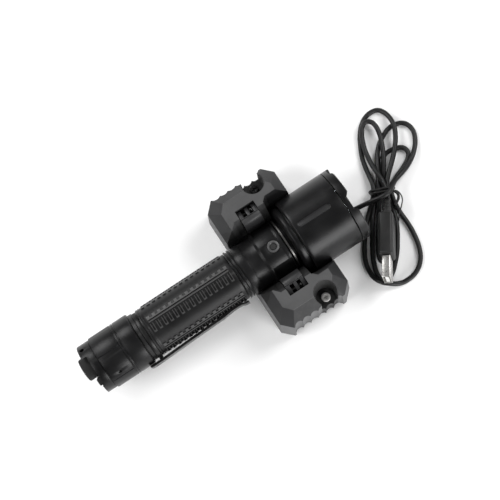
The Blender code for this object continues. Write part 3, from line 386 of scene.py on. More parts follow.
def turned(name, profile, sides=120, solid=False):    # profile is (x, radius) in mm
    clearAll()
    x, radius = profile[0]
    bpy.ops.mesh.primitive_circle_add(
        vertices=sides, radius=radius * mm, fill_type="NGON" if solid else "NOTHING",
        location=(x * mm, 0, axisZ), rotation=(0, math.pi / 2, 0))
    item = settle(bpy.context.object)
    item.name = name
    bpy.ops.object.mode_set(mode="EDIT")
    bpy.ops.mesh.select_mode(type="VERT")
    bpy.ops.mesh.select_all(action="SELECT")
    for (x, radius), (nextX, nextRadius) in zip(profile, profile[1:]):
        bpy.ops.mesh.extrude_region_move(TRANSFORM_OT_translate={"value": ((nextX - x) * mm, 0, 0)})
        if nextRadius != radius:
            grow = nextRadius / radius
            bpy.ops.transform.resize(value=(1, grow, grow), center_override=(0, 0, axisZ))
    bpy.ops.mesh.select_all(action="SELECT")
    bpy.ops.mesh.remove_doubles(threshold=0.000002)
    bpy.ops.mesh.normals_make_consistent(inside=False)
    bpy.ops.object.mode_set(mode="OBJECT")
    return item


def block(name, low, high):    # corners in mm
    clearAll()
    bpy.ops.mesh.primitive_cube_add(
        size=1, location=[(a + b) * mm / 2 for a, b in zip(low, high)],
        scale=[(b - a) * mm for a, b in zip(low, high)])
    item = settle(bpy.context.object)
    item.name = name
    return item


def rod(name, middle, radius, length, along="Z", sides=48, topRadius=None):
    clearAll()
    tilt = {"Z": (0, 0, 0), "X": (0, math.pi / 2, 0), "Y": (math.pi / 2, 0, 0)}[along]
    bpy.ops.mesh.primitive_cone_add(
        vertices=sides, radius1=radius * mm, radius2=(topRadius or radius) * mm, depth=length * mm,
        location=[v * mm for v in middle], rotation=tilt)
    item = settle(bpy.context.object)
    item.name = name
    return item


def outlined(name, outline, push):    # a flat outline of (x, y, z) in mm, pushed along one way
    clearAll()
    bpy.ops.mesh.primitive_circle_add(vertices=len(outline), radius=0.01, fill_type="NGON")
    item = bpy.context.object
    item.name = name
    for vertex, place in zip(item.data.vertices, outline):
        vertex.co = Vector(place) * mm
    bpy.ops.object.mode_set(mode="EDIT")
    bpy.ops.mesh.select_all(action="SELECT")
    bpy.ops.mesh.extrude_region_move(TRANSFORM_OT_translate={"value": [v * mm for v in push]})
    bpy.ops.mesh.select_all(action="SELECT")
    bpy.ops.mesh.normals_make_consistent(inside=False)
    bpy.ops.object.mode_set(mode="OBJECT")
    return item


def pickFaces(item, wanted):
    clearAll()
    item.select_set(True)
    bpy.context.view_layer.objects.active = item
    for group in (item.data.vertices, item.data.edges):
        for spot in group:
            spot.select = False
    for face in item.data.polygons:
        face.select = wanted(face.center / mm, face.normal)
    bpy.context.tool_settings.mesh_select_mode = (False, False, True)
    bpy.ops.object.mode_set(mode="EDIT")


def applied(item, kind, **settings):
    clearAll()
    item.select_set(True)
    bpy.context.view_layer.objects.active = item
    step = item.modifiers.new("step", kind)
    for key, value in settings.items():
        setattr(step, key, value)
    bpy.ops.object.modifier_apply(modifier="step")
    return item


def cutAway(item, *tools, joined=False):
    for tool in tools:
        applied(item, "BOOLEAN", operation="UNION" if joined else "DIFFERENCE", solver="EXACT", object=tool)
        bpy.data.objects.remove(tool)
    return item


def softEdges(item, width, segments=2, angle=32):
    return applied(item, "BEVEL", width=width * mm, segments=segments, limit_method="ANGLE",
                   angle_limit=math.radians(angle), harden_normals=False)


def finished(item, finish, body, standsFor, smoothAngle=32):
    clearAll()
    item.select_set(True)
    bpy.context.view_layer.objects.active = item
    if item.type == "MESH":
        bpy.ops.object.shade_smooth_by_angle(angle=math.radians(smoothAngle))
    item.data.materials.clear()
    item.data.materials.append(finish)
    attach(item, body)
    if standsFor:
        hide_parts(*standsFor)
    return item


def aroundAxis(place):    # degrees from the top towards +Y, and the distance from the axis in mm
    y, z = place[1], place[2] - axisZ / mm
    return math.degrees(math.atan2(y, z)) % 360.0, math.hypot(y, z)


print("stage: tail")
tailSetup = {"end": -114.0, "guardFront": -106.8, "capRadius": 14.6, "guardRadius": 14.0, "turn": -15.0,
             "panelLines": 6, "holeRadius": 1.2}


def makeTailCap(setup):
    end, front, big, small = setup["end"], setup["guardFront"], setup["capRadius"], setup["guardRadius"]
    item = turned("tailCap", [
        (end, 10.2), (end, small - 0.5), (end + 0.5, small), (front - 0.25, small),
        (front - 0.1, small - 0.25),
        (front + 0.1, small - 0.25), (front + 0.35, big), (-94.15, big), (-94.0, big - 0.35),
        (-93.6, big - 0.35),
        (-93.45, big), (-92.75, big), (-92.6, big - 0.35), (-92.2, big - 0.35), (-92.05, big), (-84.1, big),
        (-83.7, big - 0.4), (-83.7, 12.7), (-93.4, 12.7), (-93.4, 10.9), (-104.6, 10.9), (-104.6, 10.2),
        (end, 10.2)])
    tools = [
        turnAbout(block("guardGap", (end - 5, -8.6, 5), (end + 3.0, 8.6, 45)), setup["turn"]),
        turnAbout(block("shortGuard", (end - 5, -20, 5), (end + 1.8, -8.0, 45)), setup["turn"]),
        turnAbout(rod("lanyardHole", (end + 2.4, 0, axisUp + 12.5), setup["holeRadius"], 9, sides=32),
                  59 + setup["turn"]),
        turnAbout(rod("dimple", (-100.8, 0, axisUp + big + 0.7), 0.9, 3.0, sides=32), -43)]
    for index in range(setup["panelLines"]):
        line = block("panelLine", (front + 0.5, -0.22, axisUp + big - 0.35), (-94.3, 0.22, axisUp + big + 1))
        tools.append(turnAbout(line, 4 + 60 * index))
    cutAway(item, *tools)
    softEdges(item, 0.16)
    return finished(item, dark["anodised"], "tail_cap_body", ["tail_cap"])


makeTailCap(tailSetup)


def makeTailButton():
    item = turned("tailButton", [
        (-104.6 - 1.8, 0.4), (-104.6 - 1.8, 6.2), (-116.2, 6.2), (-116.7, 6.05), (-117.0, 5.6),
        (-117.15, 4.9),
        (-117.05, 4.0), (-116.95, 2.0), (-116.9, 0.4)], sides=72, solid=True)
    for vertex in item.data.vertices:
        vertex.co.y += 1.8 * mm
    softEdges(item, 0.12)
    turnAbout(item, -15.0)
    return finished(item, dark["blackRubber"], "tail_button_body", ["tail_button"])


def makeModeButton():
    item = block("modeButton", (-114.0, -9.0, 21.0), (-106.4, -4.8, 29.0))
    softEdges(item, 0.75, segments=4)
    for offset in (-1.6, 0.0, 1.6):
        cutAway(item, block("rib", (-114.6, -8.2, axisUp + offset - 0.25),
                            (-113.7, -5.6, axisUp + offset + 0.25)))
    turnAbout(item, -15.0)
    return finished(item, dark["blackRubber"], "mode_button_body", ["mode_button"])


makeTailButton()
makeModeButton()

print("stage: grip")
gripSetup = {"sides": 120, "start": -76.5, "end": -25.4, "radius": 13.2, "rowStart": -75.4, "pitch": 3.3,
             "rows": 15, "railAngle": 13.5, "repeats": 5, "rise": 0.55}


def makeGrip(setup):
    radius, pitch = setup["radius"], setup["pitch"]
    stations = []
    for row in range(setup["rows"]):
        left = setup["rowStart"] + row * pitch
        stations += [left, left + 0.45, left + 1.35, left + 1.8]
    profile = [(-93.0, 10.9), (-93.0, 12.1), (-92.7, 12.4), (-86.5, 12.4), (-86.5, 11.7), (-85.1, 11.7),
               (-85.1, 12.4), (-83.4, 12.4), (-83.4, 13.4), (-81.4, 13.4), (-81.4, 12.7), (-78.8, 12.7),
               (-78.8, 13.4), (-77.9, 13.4), (-77.8, 13.15), (-77.5, 13.15), (-77.4, 13.4), (-76.7, 13.4),
               (setup["start"], radius)]
    profile += [(x, radius) for x in stations]
    profile += [(setup["end"] - 0.2, radius), (setup["end"], radius - 0.2), (setup["end"], 12.2),
                (-22.0, 12.2), (-22.0, 11.5), (-20.6, 11.5), (-20.6, 12.2), (-16.0, 12.2), (-15.7, 11.9),
                (-15.7, 10.9), (-93.0, 10.9)]
    item = turned("gripTube", profile, sides=setup["sides"])
    lastRow = setup["rowStart"] + (setup["rows"] - 1) * pitch + 1.8
    sector = 360.0 / setup["repeats"]

    def raised(place, normal):
        around, away = aroundAxis(place)
        if not (setup["start"] + 0.9 < place.x < setup["end"] - 0.2) or away < radius - 0.3:
            return False
        turnPart = (around - setup["railAngle"] + sector / 2) % sector - sector / 2
        inRow = (place.x - setup["rowStart"]) % pitch < 1.8 and place.x < lastRow + 0.1
        rail = place.x < lastRow + 0.2 and (-4.5 < turnPart < -1.5 or 1.5 < turnPart < 4.5)
        tooth = inRow and 4.5 < turnPart < 10.5
        side = (place.x - setup["rowStart"]) % pitch
        rung = inRow and -28.5 < turnPart < -7.5 and (side < 0.45 or side > 1.35)
        foot = inRow and (-28.5 < turnPart < -25.5)
        return rail or tooth or rung or foot

    pickFaces(item, raised)
    bpy.ops.mesh.extrude_region_shrink_fatten(TRANSFORM_OT_shrink_fatten={"value": setup["rise"] * mm})
    clearAll()
    softEdges(item, 0.11, segments=1, angle=40)
    return finished(item, dark["gripAnodised"], "torch", ["body_tube"])


makeGrip(gripSetup)

print("stage: clip")
clipSetup = {"width": 7.0, "thick": 0.9, "ringStation": -80.1, "ringWidth": 2.0}
clipLine = [(-87.2, 15.0), (-86.6, 15.4), (-85.4, 15.6), (-80.0, 15.5), (-70.0, 15.05), (-61.0, 14.7),
            (-47.0, 14.3), (-42.8, 14.2), (-41.2, 14.05), (-39.7, 13.85), (-37.0, 13.55), (-33.5, 13.5),
            (-31.0, 13.65), (-29.0, 14.4), (-27.0, 14.65)]


def makeClip(setup, line):
    half, thick = setup["width"] / 2, setup["thick"]
    (x, y), (nextX, nextY) = line[0], line[1]
    item = outlined("pocketClip", [(x, -y, axisUp - half), (x, -y - thick, axisUp - half),
                                   (x, -y - thick, axisUp + half),
                                   (x, -y, axisUp + half)], (nextX - x, y - nextY, 0))
    pickFaces(item, lambda place, normal: normal.x > 0.5)
    for (x, y), (nextX, nextY) in zip(line[1:], line[2:]):
        bpy.ops.mesh.extrude_region_move(TRANSFORM_OT_translate={"value": ((nextX - x) * mm,
                                                                           (y - nextY) * mm, 0)})
    bpy.ops.mesh.select_all(action="SELECT")
    bpy.ops.mesh.normals_make_consistent(inside=False)
    clearAll()
    cutAway(item, rod("clipHole", (-83.6, -15.5, axisUp), 1.1, 6, along="Y", sides=32))
    station, ring = setup["ringStation"], setup["ringWidth"] / 2
    band = turned("clipBand", [(station - ring, 13.0), (station - ring, 14.0), (station + ring, 14.0),
                               (station + ring, 13.0), (station - ring, 13.0)], sides=96)
    cutAway(band, turnAbout(block("bandMouth", (station - 3, 8, 19), (station + 3, 20, 31)), -8))
    foot = block("clipFoot", (station - ring, -16.2, 22), (station + ring, -13.4, 28))
    cutAway(item, foot, band, joined=True)
    softEdges(item, 0.16)
    return finished(item, dark["clipSteel"], "torch", ["pocket_clip"], smoothAngle=40)


makeClip(clipSetup, clipLine)

print("stage: neck")
neckSetup = {"rear": -25.1, "housingRear": -8.7, "housingFront": 3.6, "radius": 14.3, "flat": 12.9,
             "flatTilt": 65.0, "switchX": -2.0, "ringRadius": 3.1}


def makeNeck(setup):
    rear, front, big = setup["rear"], setup["housingFront"], setup["radius"]
    item = turned("neckHousing", [
        (rear, 12.5), (rear, 13.5), (rear + 0.2, 13.7), (rear + 0.9, 13.7), (rear + 1.1, 12.9),
        (rear + 1.8, 12.9),
        (rear + 2.0, 13.7), (rear + 2.7, 13.7), (rear + 2.9, 12.9), (rear + 3.6, 12.9), (rear + 3.8, 13.6),
        (rear + 7.9, 13.6), (rear + 8.1, 13.45), (rear + 8.4, 13.45), (rear + 8.6, 13.2), (-10.1, 13.2),
        (setup["housingRear"], big), (front - 2.4, big), (front - 2.3, big - 0.2), (front - 1.9, big - 0.2),
        (front - 1.8, big), (front - 0.3, big), (front, big - 0.3), (front, 12.1), (13.6, 12.1), (13.6, 10.0),
        (-7.8, 10.0), (-7.8, 2.0), (-9.2, 2.0), (-9.2, 11.3), (-15.4, 11.3), (-15.4, 12.5), (rear, 12.5)])
    tools = [turnAbout(block("sideFlat", (setup["housingRear"] + 0.6, -10, axisUp + setup["flat"]),
                             (front - 0.4, 10, 45)), side * setup["flatTilt"]) for side in (-1, 1)]
    tools.append(rod("switchWell", (setup["switchX"], 0, axisUp + 12.5), setup["ringRadius"] + 0.3, 8.0))
    cutAway(item, *tools)
    softEdges(item, 0.16)
    return finished(item, dark["anodised"], "torch", ["neck_housing"])


def makeSwitch(setup):
    x, radius = setup["switchX"], setup["ringRadius"]
    ring = rod("switchBezel", (x, 0, axisUp + 13.25), radius, 2.3, sides=72)
    cutAway(ring, rod("switchBore", (x, 0, axisUp + 12.5), 1.75, 8.0, sides=48),
            rod("dish", (x, 0, axisUp + 14.4), 1.75, 0.9, sides=72, topRadius=2.45))
    softEdges(ring, 0.12, segments=3)
    finished(ring, dark["switchRing"], "torch", ["side_switch_ring"])
    button = rod("switchButton", (x, 0, axisUp + 12.8), 1.6, 3.0, sides=48)
    softEdges(button, 0.35, segments=4)
    cutAway(button, rod("fingerDish", (x, 0, axisUp + 14.3), 0.5, 0.25, sides=48, topRadius=1.0))
    finished(button, dark["blackRubber"], "side_switch_body", ["side_switch_button"])


makeNeck(neckSetup)
makeSwitch(neckSetup)
contactRing = turned("contactRing", [(4.3, 12.3), (4.3, 13.85), (4.45, 14.0), (5.15, 14.0), (5.3, 13.85),
                                     (5.3, 12.3), (4.3, 12.3)])
finished(contactRing, metal["contactNickel"], "torch", ["charge_contact_ring"])

print("stage: head")
headSetup = {"rear": 7.0, "start": 11.3, "bezel": 39.5, "end": 44.2, "radius": 20.4, "band": 18.6,
             "slotX": 23.6, "slotLong": 19.0, "slotWide": 2.9, "slotTurn": 3.0, "notches": 5}


def makeHead(setup):
    rear, start, bezel, big, band = (setup[k] for k in ("rear", "start", "bezel", "radius", "band"))
    item = turned("headShell", [
        (rear, 12.4), (rear, 16.2), (rear + 0.9, band - 0.4), (rear + 1.4, band), (start - 0.9, band),
        (start - 0.7, band - 0.8), (start - 0.1, band - 0.8), (start + 0.1, big - 0.6),
        (start + 0.5, big - 0.1),
        (start + 1.2, big), (13.4, big), (33.8, big), (bezel - 0.5, big), (bezel - 0.3, big - 0.25),
        (bezel - 0.3, 18.8), (35.5, 18.8), (35.5, 17.9), (13.6, 17.9), (13.6, 12.4), (rear, 12.4)], sides=144)
    slot = rod("slot", (setup["slotX"] - (setup["slotLong"] - setup["slotWide"]) / 2, 0, axisUp + big + 0.25),
               setup["slotWide"] / 2, 2.2, sides=34)
    pickFaces(slot, lambda place, normal: normal.x > 0.02 and abs(normal.z) < 0.5)
    bpy.ops.transform.translate(value=((setup["slotLong"] - setup["slotWide"]) * mm, 0, 0))
    clearAll()
    cutAway(item, turnAbout(slot, setup["slotTurn"]))
    softEdges(item, 0.15, angle=25)
    return finished(item, dark["headAnodised"], "torch", ["head_shell"], smoothAngle=25)


def makeBezel(setup):
    bezel, end, big = setup["bezel"], setup["end"], setup["radius"]
    item = turned("bezelRing", [(bezel, 16.8), (bezel, big - 0.2), (bezel + 0.2, big), (end - 0.5, big),
                                (end, big - 0.5), (end, 17.6), (bezel + 0.4, 16.8), (bezel, 16.8)], sides=144)
    for index in range(setup["notches"]):
        notch = outlined("notch", [(end - 2.0, -3.4, 39), (end - 2.0, 3.4, 39), (end + 1.0, 6.6, 39),
                                   (end + 1.0, -6.6, 39)], (0, 0, 10))
        cutAway(item, turnAbout(notch, -10 - 72 * index))
    softEdges(item, 0.2, segments=3, angle=25)
    return finished(item, dark["anodised"], "torch", ["bezel_ring"], smoothAngle=25)


makeHead(headSetup)
makeBezel(headSetup)

print("stage: cradle")
cradleSetup = {"baseHalf": (21.5, 40.3), "wallHalf": (20.5, 39.3), "panelHalf": (14.8, 32.5), "corner": 5.4,
               "bottom": 2.5, "wallTop": 29.5, "top": 39.0, "screwX": 7.3, "screwY": 33.9, "screwFloor": 18.0,
               "scallopStart": -12.2, "scallopPitch": 4.7, "scallops": 6, "jawX": -3.0, "jawLong": 10.5}


def troughShape(name, radius, halfTop, halfTopFar, rear, bend, front):
    outline = [(halfTop, 41), (radius, 27)]
    outline += [(radius * math.cos(math.radians(-7.5 * k)),
                 axisUp + radius * math.sin(math.radians(-7.5 * k)))
                for k in range(25)]
    outline += [(-radius, 27), (-halfTop, 41)]
    item = outlined(name, [(rear, y, z) for y, z in outline], (bend[0] - rear, 0, 0))
    for reach in (bend[1] - bend[0], front - bend[1]):
        pickFaces(item, lambda place, normal: normal.x > 0.7)
        bpy.ops.mesh.extrude_region_move(TRANSFORM_OT_translate={"value": (reach * mm, 0, 0)})
        clearAll()
        for vertex in item.data.vertices:
            if vertex.co.z > 0.040 and vertex.co.x > (bend[1] - 0.01) * mm:
                vertex.co.y = math.copysign(halfTopFar * mm, vertex.co.y)
    clearAll()
    return item


def makeCradle(setup):
    halfX, halfY = setup["baseHalf"]
    item = block("cradleShell", (-halfX, -halfY, setup["bottom"]), (halfX, halfY, setup["bottom"] + 1.0))
    pickFaces(item, lambda place, normal: False)
    bpy.ops.mesh.select_mode(type="EDGE")
    bpy.ops.object.mode_set(mode="OBJECT")
    for edge in item.data.edges:
        low, high = (item.data.vertices[i].co for i in edge.vertices)
        edge.select = abs(low.z - high.z) > 0.0005
    bpy.ops.object.mode_set(mode="EDIT")
    bpy.ops.mesh.bevel(offset=setup["corner"] * mm, segments=1)
    pickFaces(item, lambda place, normal: normal.z > 0.9)
    wall, panel = setup["wallHalf"], setup["panelHalf"]
    rise = setup["wallTop"] - setup["bottom"] - 1.0
    bpy.ops.mesh.extrude_region_move(TRANSFORM_OT_translate={"value": (0, 0, rise * mm)})
    bpy.ops.transform.resize(value=(wall[0] / halfX, wall[1] / halfY, 1), center_override=(0, 0, 0))
    bpy.ops.mesh.extrude_region_move(
        TRANSFORM_OT_translate={"value": (0, 0, (setup["top"] - setup["wallTop"]) * mm)})
    bpy.ops.transform.resize(value=(panel[0] / wall[0], panel[1] / wall[1], 1), center_override=(0, 0, 0))
    clearAll()
    cutAway(item, troughShape("neckTrough", 14.9, 19.1, 22.8, -30.0, (-14.8, -11.5), 7.3),
            troughShape("headTrough", 20.9, 22.5, 25.0, 6.3, (6.35, 9.0), 24.0))
    softEdges(item, 0.5, segments=3, angle=20)
    screwX, floor = setup["screwX"], setup["screwFloor"]
    for side in (-1, 1):
        screwY = side * setup["screwY"]
        for step in range(setup["scallops"]):
            cutAway(item, rod("scallop", (setup["scallopStart"] + setup["scallopPitch"] * step,
                                          side * (setup["wallHalf"][1] + 3.0 - 1.5), 19.5), 3.0, 60,
                                          sides=40))
        cutAway(item, rod("recess", (screwX, screwY, floor + 12), 5.0, 24, sides=56, topRadius=6.4),
                block("recessMouth", (screwX - 5.0, min(screwY, side * 45), floor),
                      (screwX + 5.0, max(screwY, side * 45), 43)),
                block("jawWindow", (setup["jawX"] - setup["jawLong"] / 2 - 0.3,
                                    min(side * 10.5, side * 25.7), 15),
                      (setup["jawX"] + setup["jawLong"] / 2 + 0.3, max(side * 10.5, side * 25.7), 43)),
                rod("pinHole", (setup["jawX"], side * 23, 34), 1.15, 15.6, along="X", sides=24),
                block("wingPocket", (-16.5, min(side * 28.5, side * 35.5), -2),
                      (-1, max(side * 28.5, side * 35.5), 26)))
    cutAway(item, block("boardSpace", (-17, -17, -2), (3.5, 17, 8)),
            block("glandSpace", (17.7, -3.8, -1), (24, 3.8, 6)))
    for x in (-5.0, 2.0):
        cutAway(item, rod("contactHole", (x, 0, 9), 1.2, 6, sides=24))
    softEdges(item, 0.12, segments=2, angle=48)
    return finished(item, dark["cradlePlastic"], "cradle", ["cradle_body"], smoothAngle=30)


makeCradle(cradleSetup)


def makeBasePlate(setup):
    halfX, halfY, corner = setup["baseHalf"][0] - 0.5, setup["baseHalf"][1] - 1.2, setup["corner"]
    item = outlined("basePlate", [
        (halfX, corner - halfY, 0), (halfX, halfY - corner, 0), (halfX - corner, halfY, 0),
        (corner - halfX, halfY, 0), (-halfX, halfY - corner, 0), (-halfX, corner - halfY, 0),
        (corner - halfX, -halfY, 0), (halfX - corner, -halfY, 0)], (0, 0, 2.2))
    for side in (-1, 1):
        for step in range(setup["scallops"]):
            cutAway(item, rod("plateScallop", (setup["scallopStart"] + setup["scallopPitch"] * step,
                                               side * (setup["wallHalf"][1] + 1.5), 2), 3.0, 9, sides=40))
        cutAway(item, rod("threadHole", (setup["screwX"], side * setup["screwY"], 2.2), 1.4, 3, sides=24))
    cutAway(item, block("plateNotch", (17.7, -3.8, -1), (24, 3.8, 6)))
    softEdges(item, 0.15, angle=40)
    return finished(item, dark["cradlePlastic"], "cradle", ["base_plate"])


makeBasePlate(cradleSetup)

jawLine = [(25.0, 36.2), (24.0, 36.9), (22.2, 37.5), (20.0, 38.2), (18.2, 38.0), (17.2, 37.2), (16.5, 36.0),
           (15.2, 33.0), (14.7, 30.0), (14.7, 21.0), (17.5, 20.0), (19.0, 26.0), (20.4, 30.4), (22.2, 31.8),
           (23.6, 31.75), (24.6, 32.4), (25.1, 33.6), (25.25, 35.0)]


def makeJaw(side, word, setup):
    low = setup["jawX"] - setup["jawLong"] / 2
    item = outlined("jawBlock_" + word, [(low, side * y, z) for y, z in jawLine], (setup["jawLong"], 0, 0))
    cutAway(item, rod("pinBore", (setup["jawX"], side * 23, 34), 1.15, 20, along="X", sides=24))
    for offset in (-2.0, 2.0):
        middle = setup["jawX"] + offset
        cutAway(item, block("knuckleGap", (middle - 1.1, min(side * 20.8, side * 30), 28),
                            (middle + 1.1, max(side * 20.8, side * 30), 42)))
    cutAway(item, block("gripLine", (low - 1, min(side * 20.1, side * 20.45), 37.6),
                        (low + setup["jawLong"] + 1, max(side * 20.1, side * 20.45), 42)))
    softEdges(item, 0.25, segments=2, angle=40)
    return finished(item, dark["jawPlastic"], "jaw_%s_body" % word, ["jaw_" + word])


def makeScrew(side, word, setup, finish):
    x, y, floor = setup["screwX"], side * setup["screwY"], setup["screwFloor"]
    item = rod("caseScrew_" + word, (x, y, floor + 0.3 + 0.8), 2.4, 1.6, sides=64)
    softEdges(item, 0.3, segments=2, angle=60)
    pickFaces(item, lambda place, normal: normal.z > 0.9)
    for lift in (0.18, 0.1):
        bpy.ops.mesh.inset(thickness=0.35 * mm)
        bpy.ops.transform.translate(value=(0, 0, lift * mm))
    clearAll()
    cutAway(item, block("driveA", (x - 1.25, y - 0.28, floor + 1.0), (x + 1.25, y + 0.28, floor + 4)),
            block("driveB", (x - 0.28, y - 1.25, floor + 1.0), (x + 0.28, y + 1.25, floor + 4)))
    cutAway(item, rod("shank", (x, y, floor / 2 + 1.4), 1.1, floor - 1.4, sides=24), joined=True)
    softEdges(item, 0.08, segments=2, angle=40)
    return finished(item, finish, "cradle", ["case_screw_" + word])


for side, word in ((1, "left"), (-1, "right")):
    makeJaw(side, word, cradleSetup)
# painted shade: the left screw sits deep in its shadowed recess, so it gets the dark clip steel instead of
# the bright screw steel
makeScrew(1, "left", cradleSetup, dark["clipSteel"])
makeScrew(-1, "right", cradleSetup, metal["screwSteel"])


def makeGland():
    item = outlined("leadGland", [(18.0, -3.5, 0.3), (18.0, 3.5, 0.3), (18.0, 3.5, 3.9), (18.0, -3.5, 3.9)],
                    (3.8, 0, 0))
    pickFaces(item, lambda place, normal: normal.x > 0.9)
    bpy.ops.mesh.extrude_region_move(TRANSFORM_OT_translate={"value": (0.6 * mm, 0, 0)})
    bpy.ops.transform.resize(value=(1, 0.75, 0.94), center_override=(0, 0, 2.1 * mm))
    bpy.ops.mesh.extrude_region_move(TRANSFORM_OT_translate={"value": (3.8 * mm, 0, 0)})
    bpy.ops.transform.resize(value=(1, 0.76, 1), center_override=(0, 0, 2.1 * mm))
    clearAll()
    for x in (23.2, 24.6):
        cutAway(item, block("flexGroove", (x, -5, 3.0), (x + 0.6, 5, 6)))
    softEdges(item, 0.3, segments=3, angle=50)
    return finished(item, dark["blackRubber"], "cradle", ["cord_gland"])


makeGland()

print("stage: plug")
plugSetup = {"rear": (58.9, -16.1, 0.0), "way": (0.557, 0.831, 0.0), "bottom": 3.8, "roll": 9.0, "pitch": 8.0,
             "tall": 15.0, "thick": 7.6, "long": 23.2}


def plugPlace(setup):    # from the plug's own length, side and height to where it lies
    way = Vector(setup["way"]).normalized()
    side = Vector((-way.y, way.x, 0))
    rear = Vector(setup["rear"]) * mm
    pivot = Matrix.Translation(rear + Vector((0, 0, setup["bottom"] * mm)))
    lean = (Matrix.Rotation(math.radians(setup["pitch"]), 4, side)
            @ Matrix.Rotation(math.radians(setup["roll"]), 4, -way))
    own = Matrix((-way, side, (0, 0, 1))).transposed().to_4x4()
    return pivot @ lean @ pivot.inverted() @ Matrix.Translation(rear) @ own


plugFrame = plugPlace(plugSetup)


def layDown(item):
    item.matrix_world = plugFrame    # this mirrors the piece, so its faces are turned back outwards
    settle(item)
    pickFaces(item, lambda place, normal: True)
    bpy.ops.mesh.flip_normals()
    clearAll()
    return item


def makePlug(setup):
    low, tall, half, long = setup["bottom"], setup["tall"], setup["thick"] / 2, setup["long"]
    middle = low + tall / 2
    body = block("plugBody", (0, -half, low), (long, half, low + tall))
    softEdges(body, 1.5, segments=4, angle=60)
    for x in (1.2, 2.6, 4.0):
        cutAway(body, block("grooveA", (x, half - 0.25, middle - 4.5), (x + 0.7, half + 1, middle + 4.5)),
                block("grooveB", (x, -half - 1, middle - 4.5), (x + 0.7, 0.25 - half, middle + 4.5)))
    layDown(softEdges(body, 0.12, angle=50))
    finished(body, dark["plugPlastic"], "cradle", ["usb_housing"])
    near = long + 0.3
    shell = block("plugShell", (near, -2.25, middle - 6), (near + 12, 2.25, middle + 6))
    softEdges(shell, 0.45, segments=3, angle=60)
    cutAway(shell, block("mouth", (near + 1, -1.9, middle - 5.65), (near + 14, 1.9, middle + 5.65)))
    for offset in (-2.9, 2.9):
        cutAway(shell, block("latch", (near + 5.2, -4, middle + offset - 1.2),
                             (near + 7.4, 4, middle + offset + 1.2)))
    layDown(softEdges(shell, 0.07, angle=50))
    finished(shell, metal["plugNickel"], "cradle", ["usb_shell"])
    tongue = block("plugTongue", (near + 1.3, -0.9, middle - 5.3), (near + 11.4, 0.9, middle + 5.3))
    softEdges(tongue, 0.15, angle=60)
    layDown(tongue)
    finished(tongue, inner["insertWhite"], "cradle", ["usb_insert"])
    return [body, shell, tongue]


def makeSleeve(setup):
    middle = setup["bottom"] + setup["tall"] / 2
    clearAll()
    bpy.ops.mesh.primitive_circle_add(vertices=40, radius=2.7 * mm, fill_type="NGON",
                                      location=(-0.3 * mm, 0, middle * mm), rotation=(0, -math.pi / 2, 0))
    item = settle(bpy.context.object)
    item.name = "plugSleeve"
    bpy.ops.object.mode_set(mode="EDIT")
    bpy.ops.mesh.select_all(action="SELECT")
    spot, radius = (-0.3, middle), 2.7
    for x, drop, size in ((-2.0, 0.0, 2.5), (-2.2, 0.0, 2.1), (-2.8, 0.1, 2.1), (-3.0, 0.2, 2.35),
                          (-4.2, 0.5, 2.25),
                          (-4.4, 0.55, 1.85), (-5.0, 0.7, 1.8), (-5.2, 0.75, 2.05), (-6.4, 1.1, 1.95),
                          (-6.6, 1.2, 1.6), (-7.2, 1.4, 1.55), (-7.4, 1.5, 1.8), (-9.6, 2.2, 1.6)):
        bpy.ops.mesh.extrude_region_move(
            TRANSFORM_OT_translate={"value": ((x - spot[0]) * mm, 0, (middle - drop - spot[1]) * mm)})
        spot = (x, middle - drop)
        bpy.ops.transform.resize(value=(1, size / radius, size / radius),
                                 center_override=(x * mm, 0, spot[1] * mm))
        radius = size
    bpy.ops.mesh.select_all(action="SELECT")
    bpy.ops.mesh.normals_make_consistent(inside=False)
    clearAll()
    layDown(softEdges(item, 0.12, angle=30))
    return finished(item, dark["plugPlastic"], "cradle", ["usb_strain_relief"])


plugPieces = makePlug(plugSetup) + [makeSleeve(plugSetup)]
sleeveEnd = plugFrame @ Vector((-10.2 * mm, 0, (plugSetup["bottom"] + 7.5 - 2.45) * mm))
sleeveInside = plugFrame @ Vector((-9.7 * mm, 0, (plugSetup["bottom"] + 7.5 - 2.22) * mm))

print("stage: tie")
tieBand = [(58.9, 1.3, 3.0), (58.9, 1.3, 7.2), (60.2, 0.7, 9.1), (64.4, -1.0, 9.3), (68.4, -2.7, 9.1),
           (70.2, -3.4, 7.2), (70.2, -3.4, 2.4), (68.6, -2.8, 0.9), (64.4, -1.0, 0.8), (60.0, 0.8, 0.9),
           (59.2, 0.1, 2.4), (59.3, 0.0, 7.0), (60.0, -0.8, 8.9), (63.6, -2.4, 9.2), (67.6, -4.2, 9.0),
           (69.0, -5.2, 8.6), (70.1, -7.4, 8.3), (69.6, -9.4, 8.1), (67.6, -11.0, 8.0), (65.7, -11.9, 8.0)]
tieLoop = [(66.6, -4.4, 9.0), (68.6, -4.9, 9.0), (70.3, -5.9, 8.8), (71.2, -8.2, 8.4), (70.7, -11.2, 8.2),
           (68.4, -14.0, 8.1), (65.6, -16.4, 8.1), (63.4, -18.8, 8.0), (62.5, -20.2, 8.0)]


def inMetres(points):
    return [Vector(point) * mm for point in points]


def makeWire(name, points, radius, resolution=8):
    data = bpy.data.curves.new(name, "CURVE")
    data.dimensions = "3D"
    data.bevel_depth = radius
    data.bevel_resolution = 4
    data.use_fill_caps = True
    data.resolution_u = resolution
    line = data.splines.new("BEZIER")
    line.bezier_points.add(len(points) - 1)
    for spot, point in zip(line.bezier_points, points):
        spot.co = point
        spot.handle_left_type = spot.handle_right_type = "AUTO"
    item = bpy.data.objects.new(name, data)
    scene.collection.objects.link(item)
    return item


band = makeWire("tieBand", inMetres(tieBand), 0.75 * mm)
loop = makeWire("tieLoop", inMetres(tieLoop), 0.32 * mm)
tiePieces = [finished(band, dark["tieVinyl"], "cradle", ["twist_tie"]),
             finished(loop, dark["tieVinyl"], "cradle", [])]

print("stage: lead")
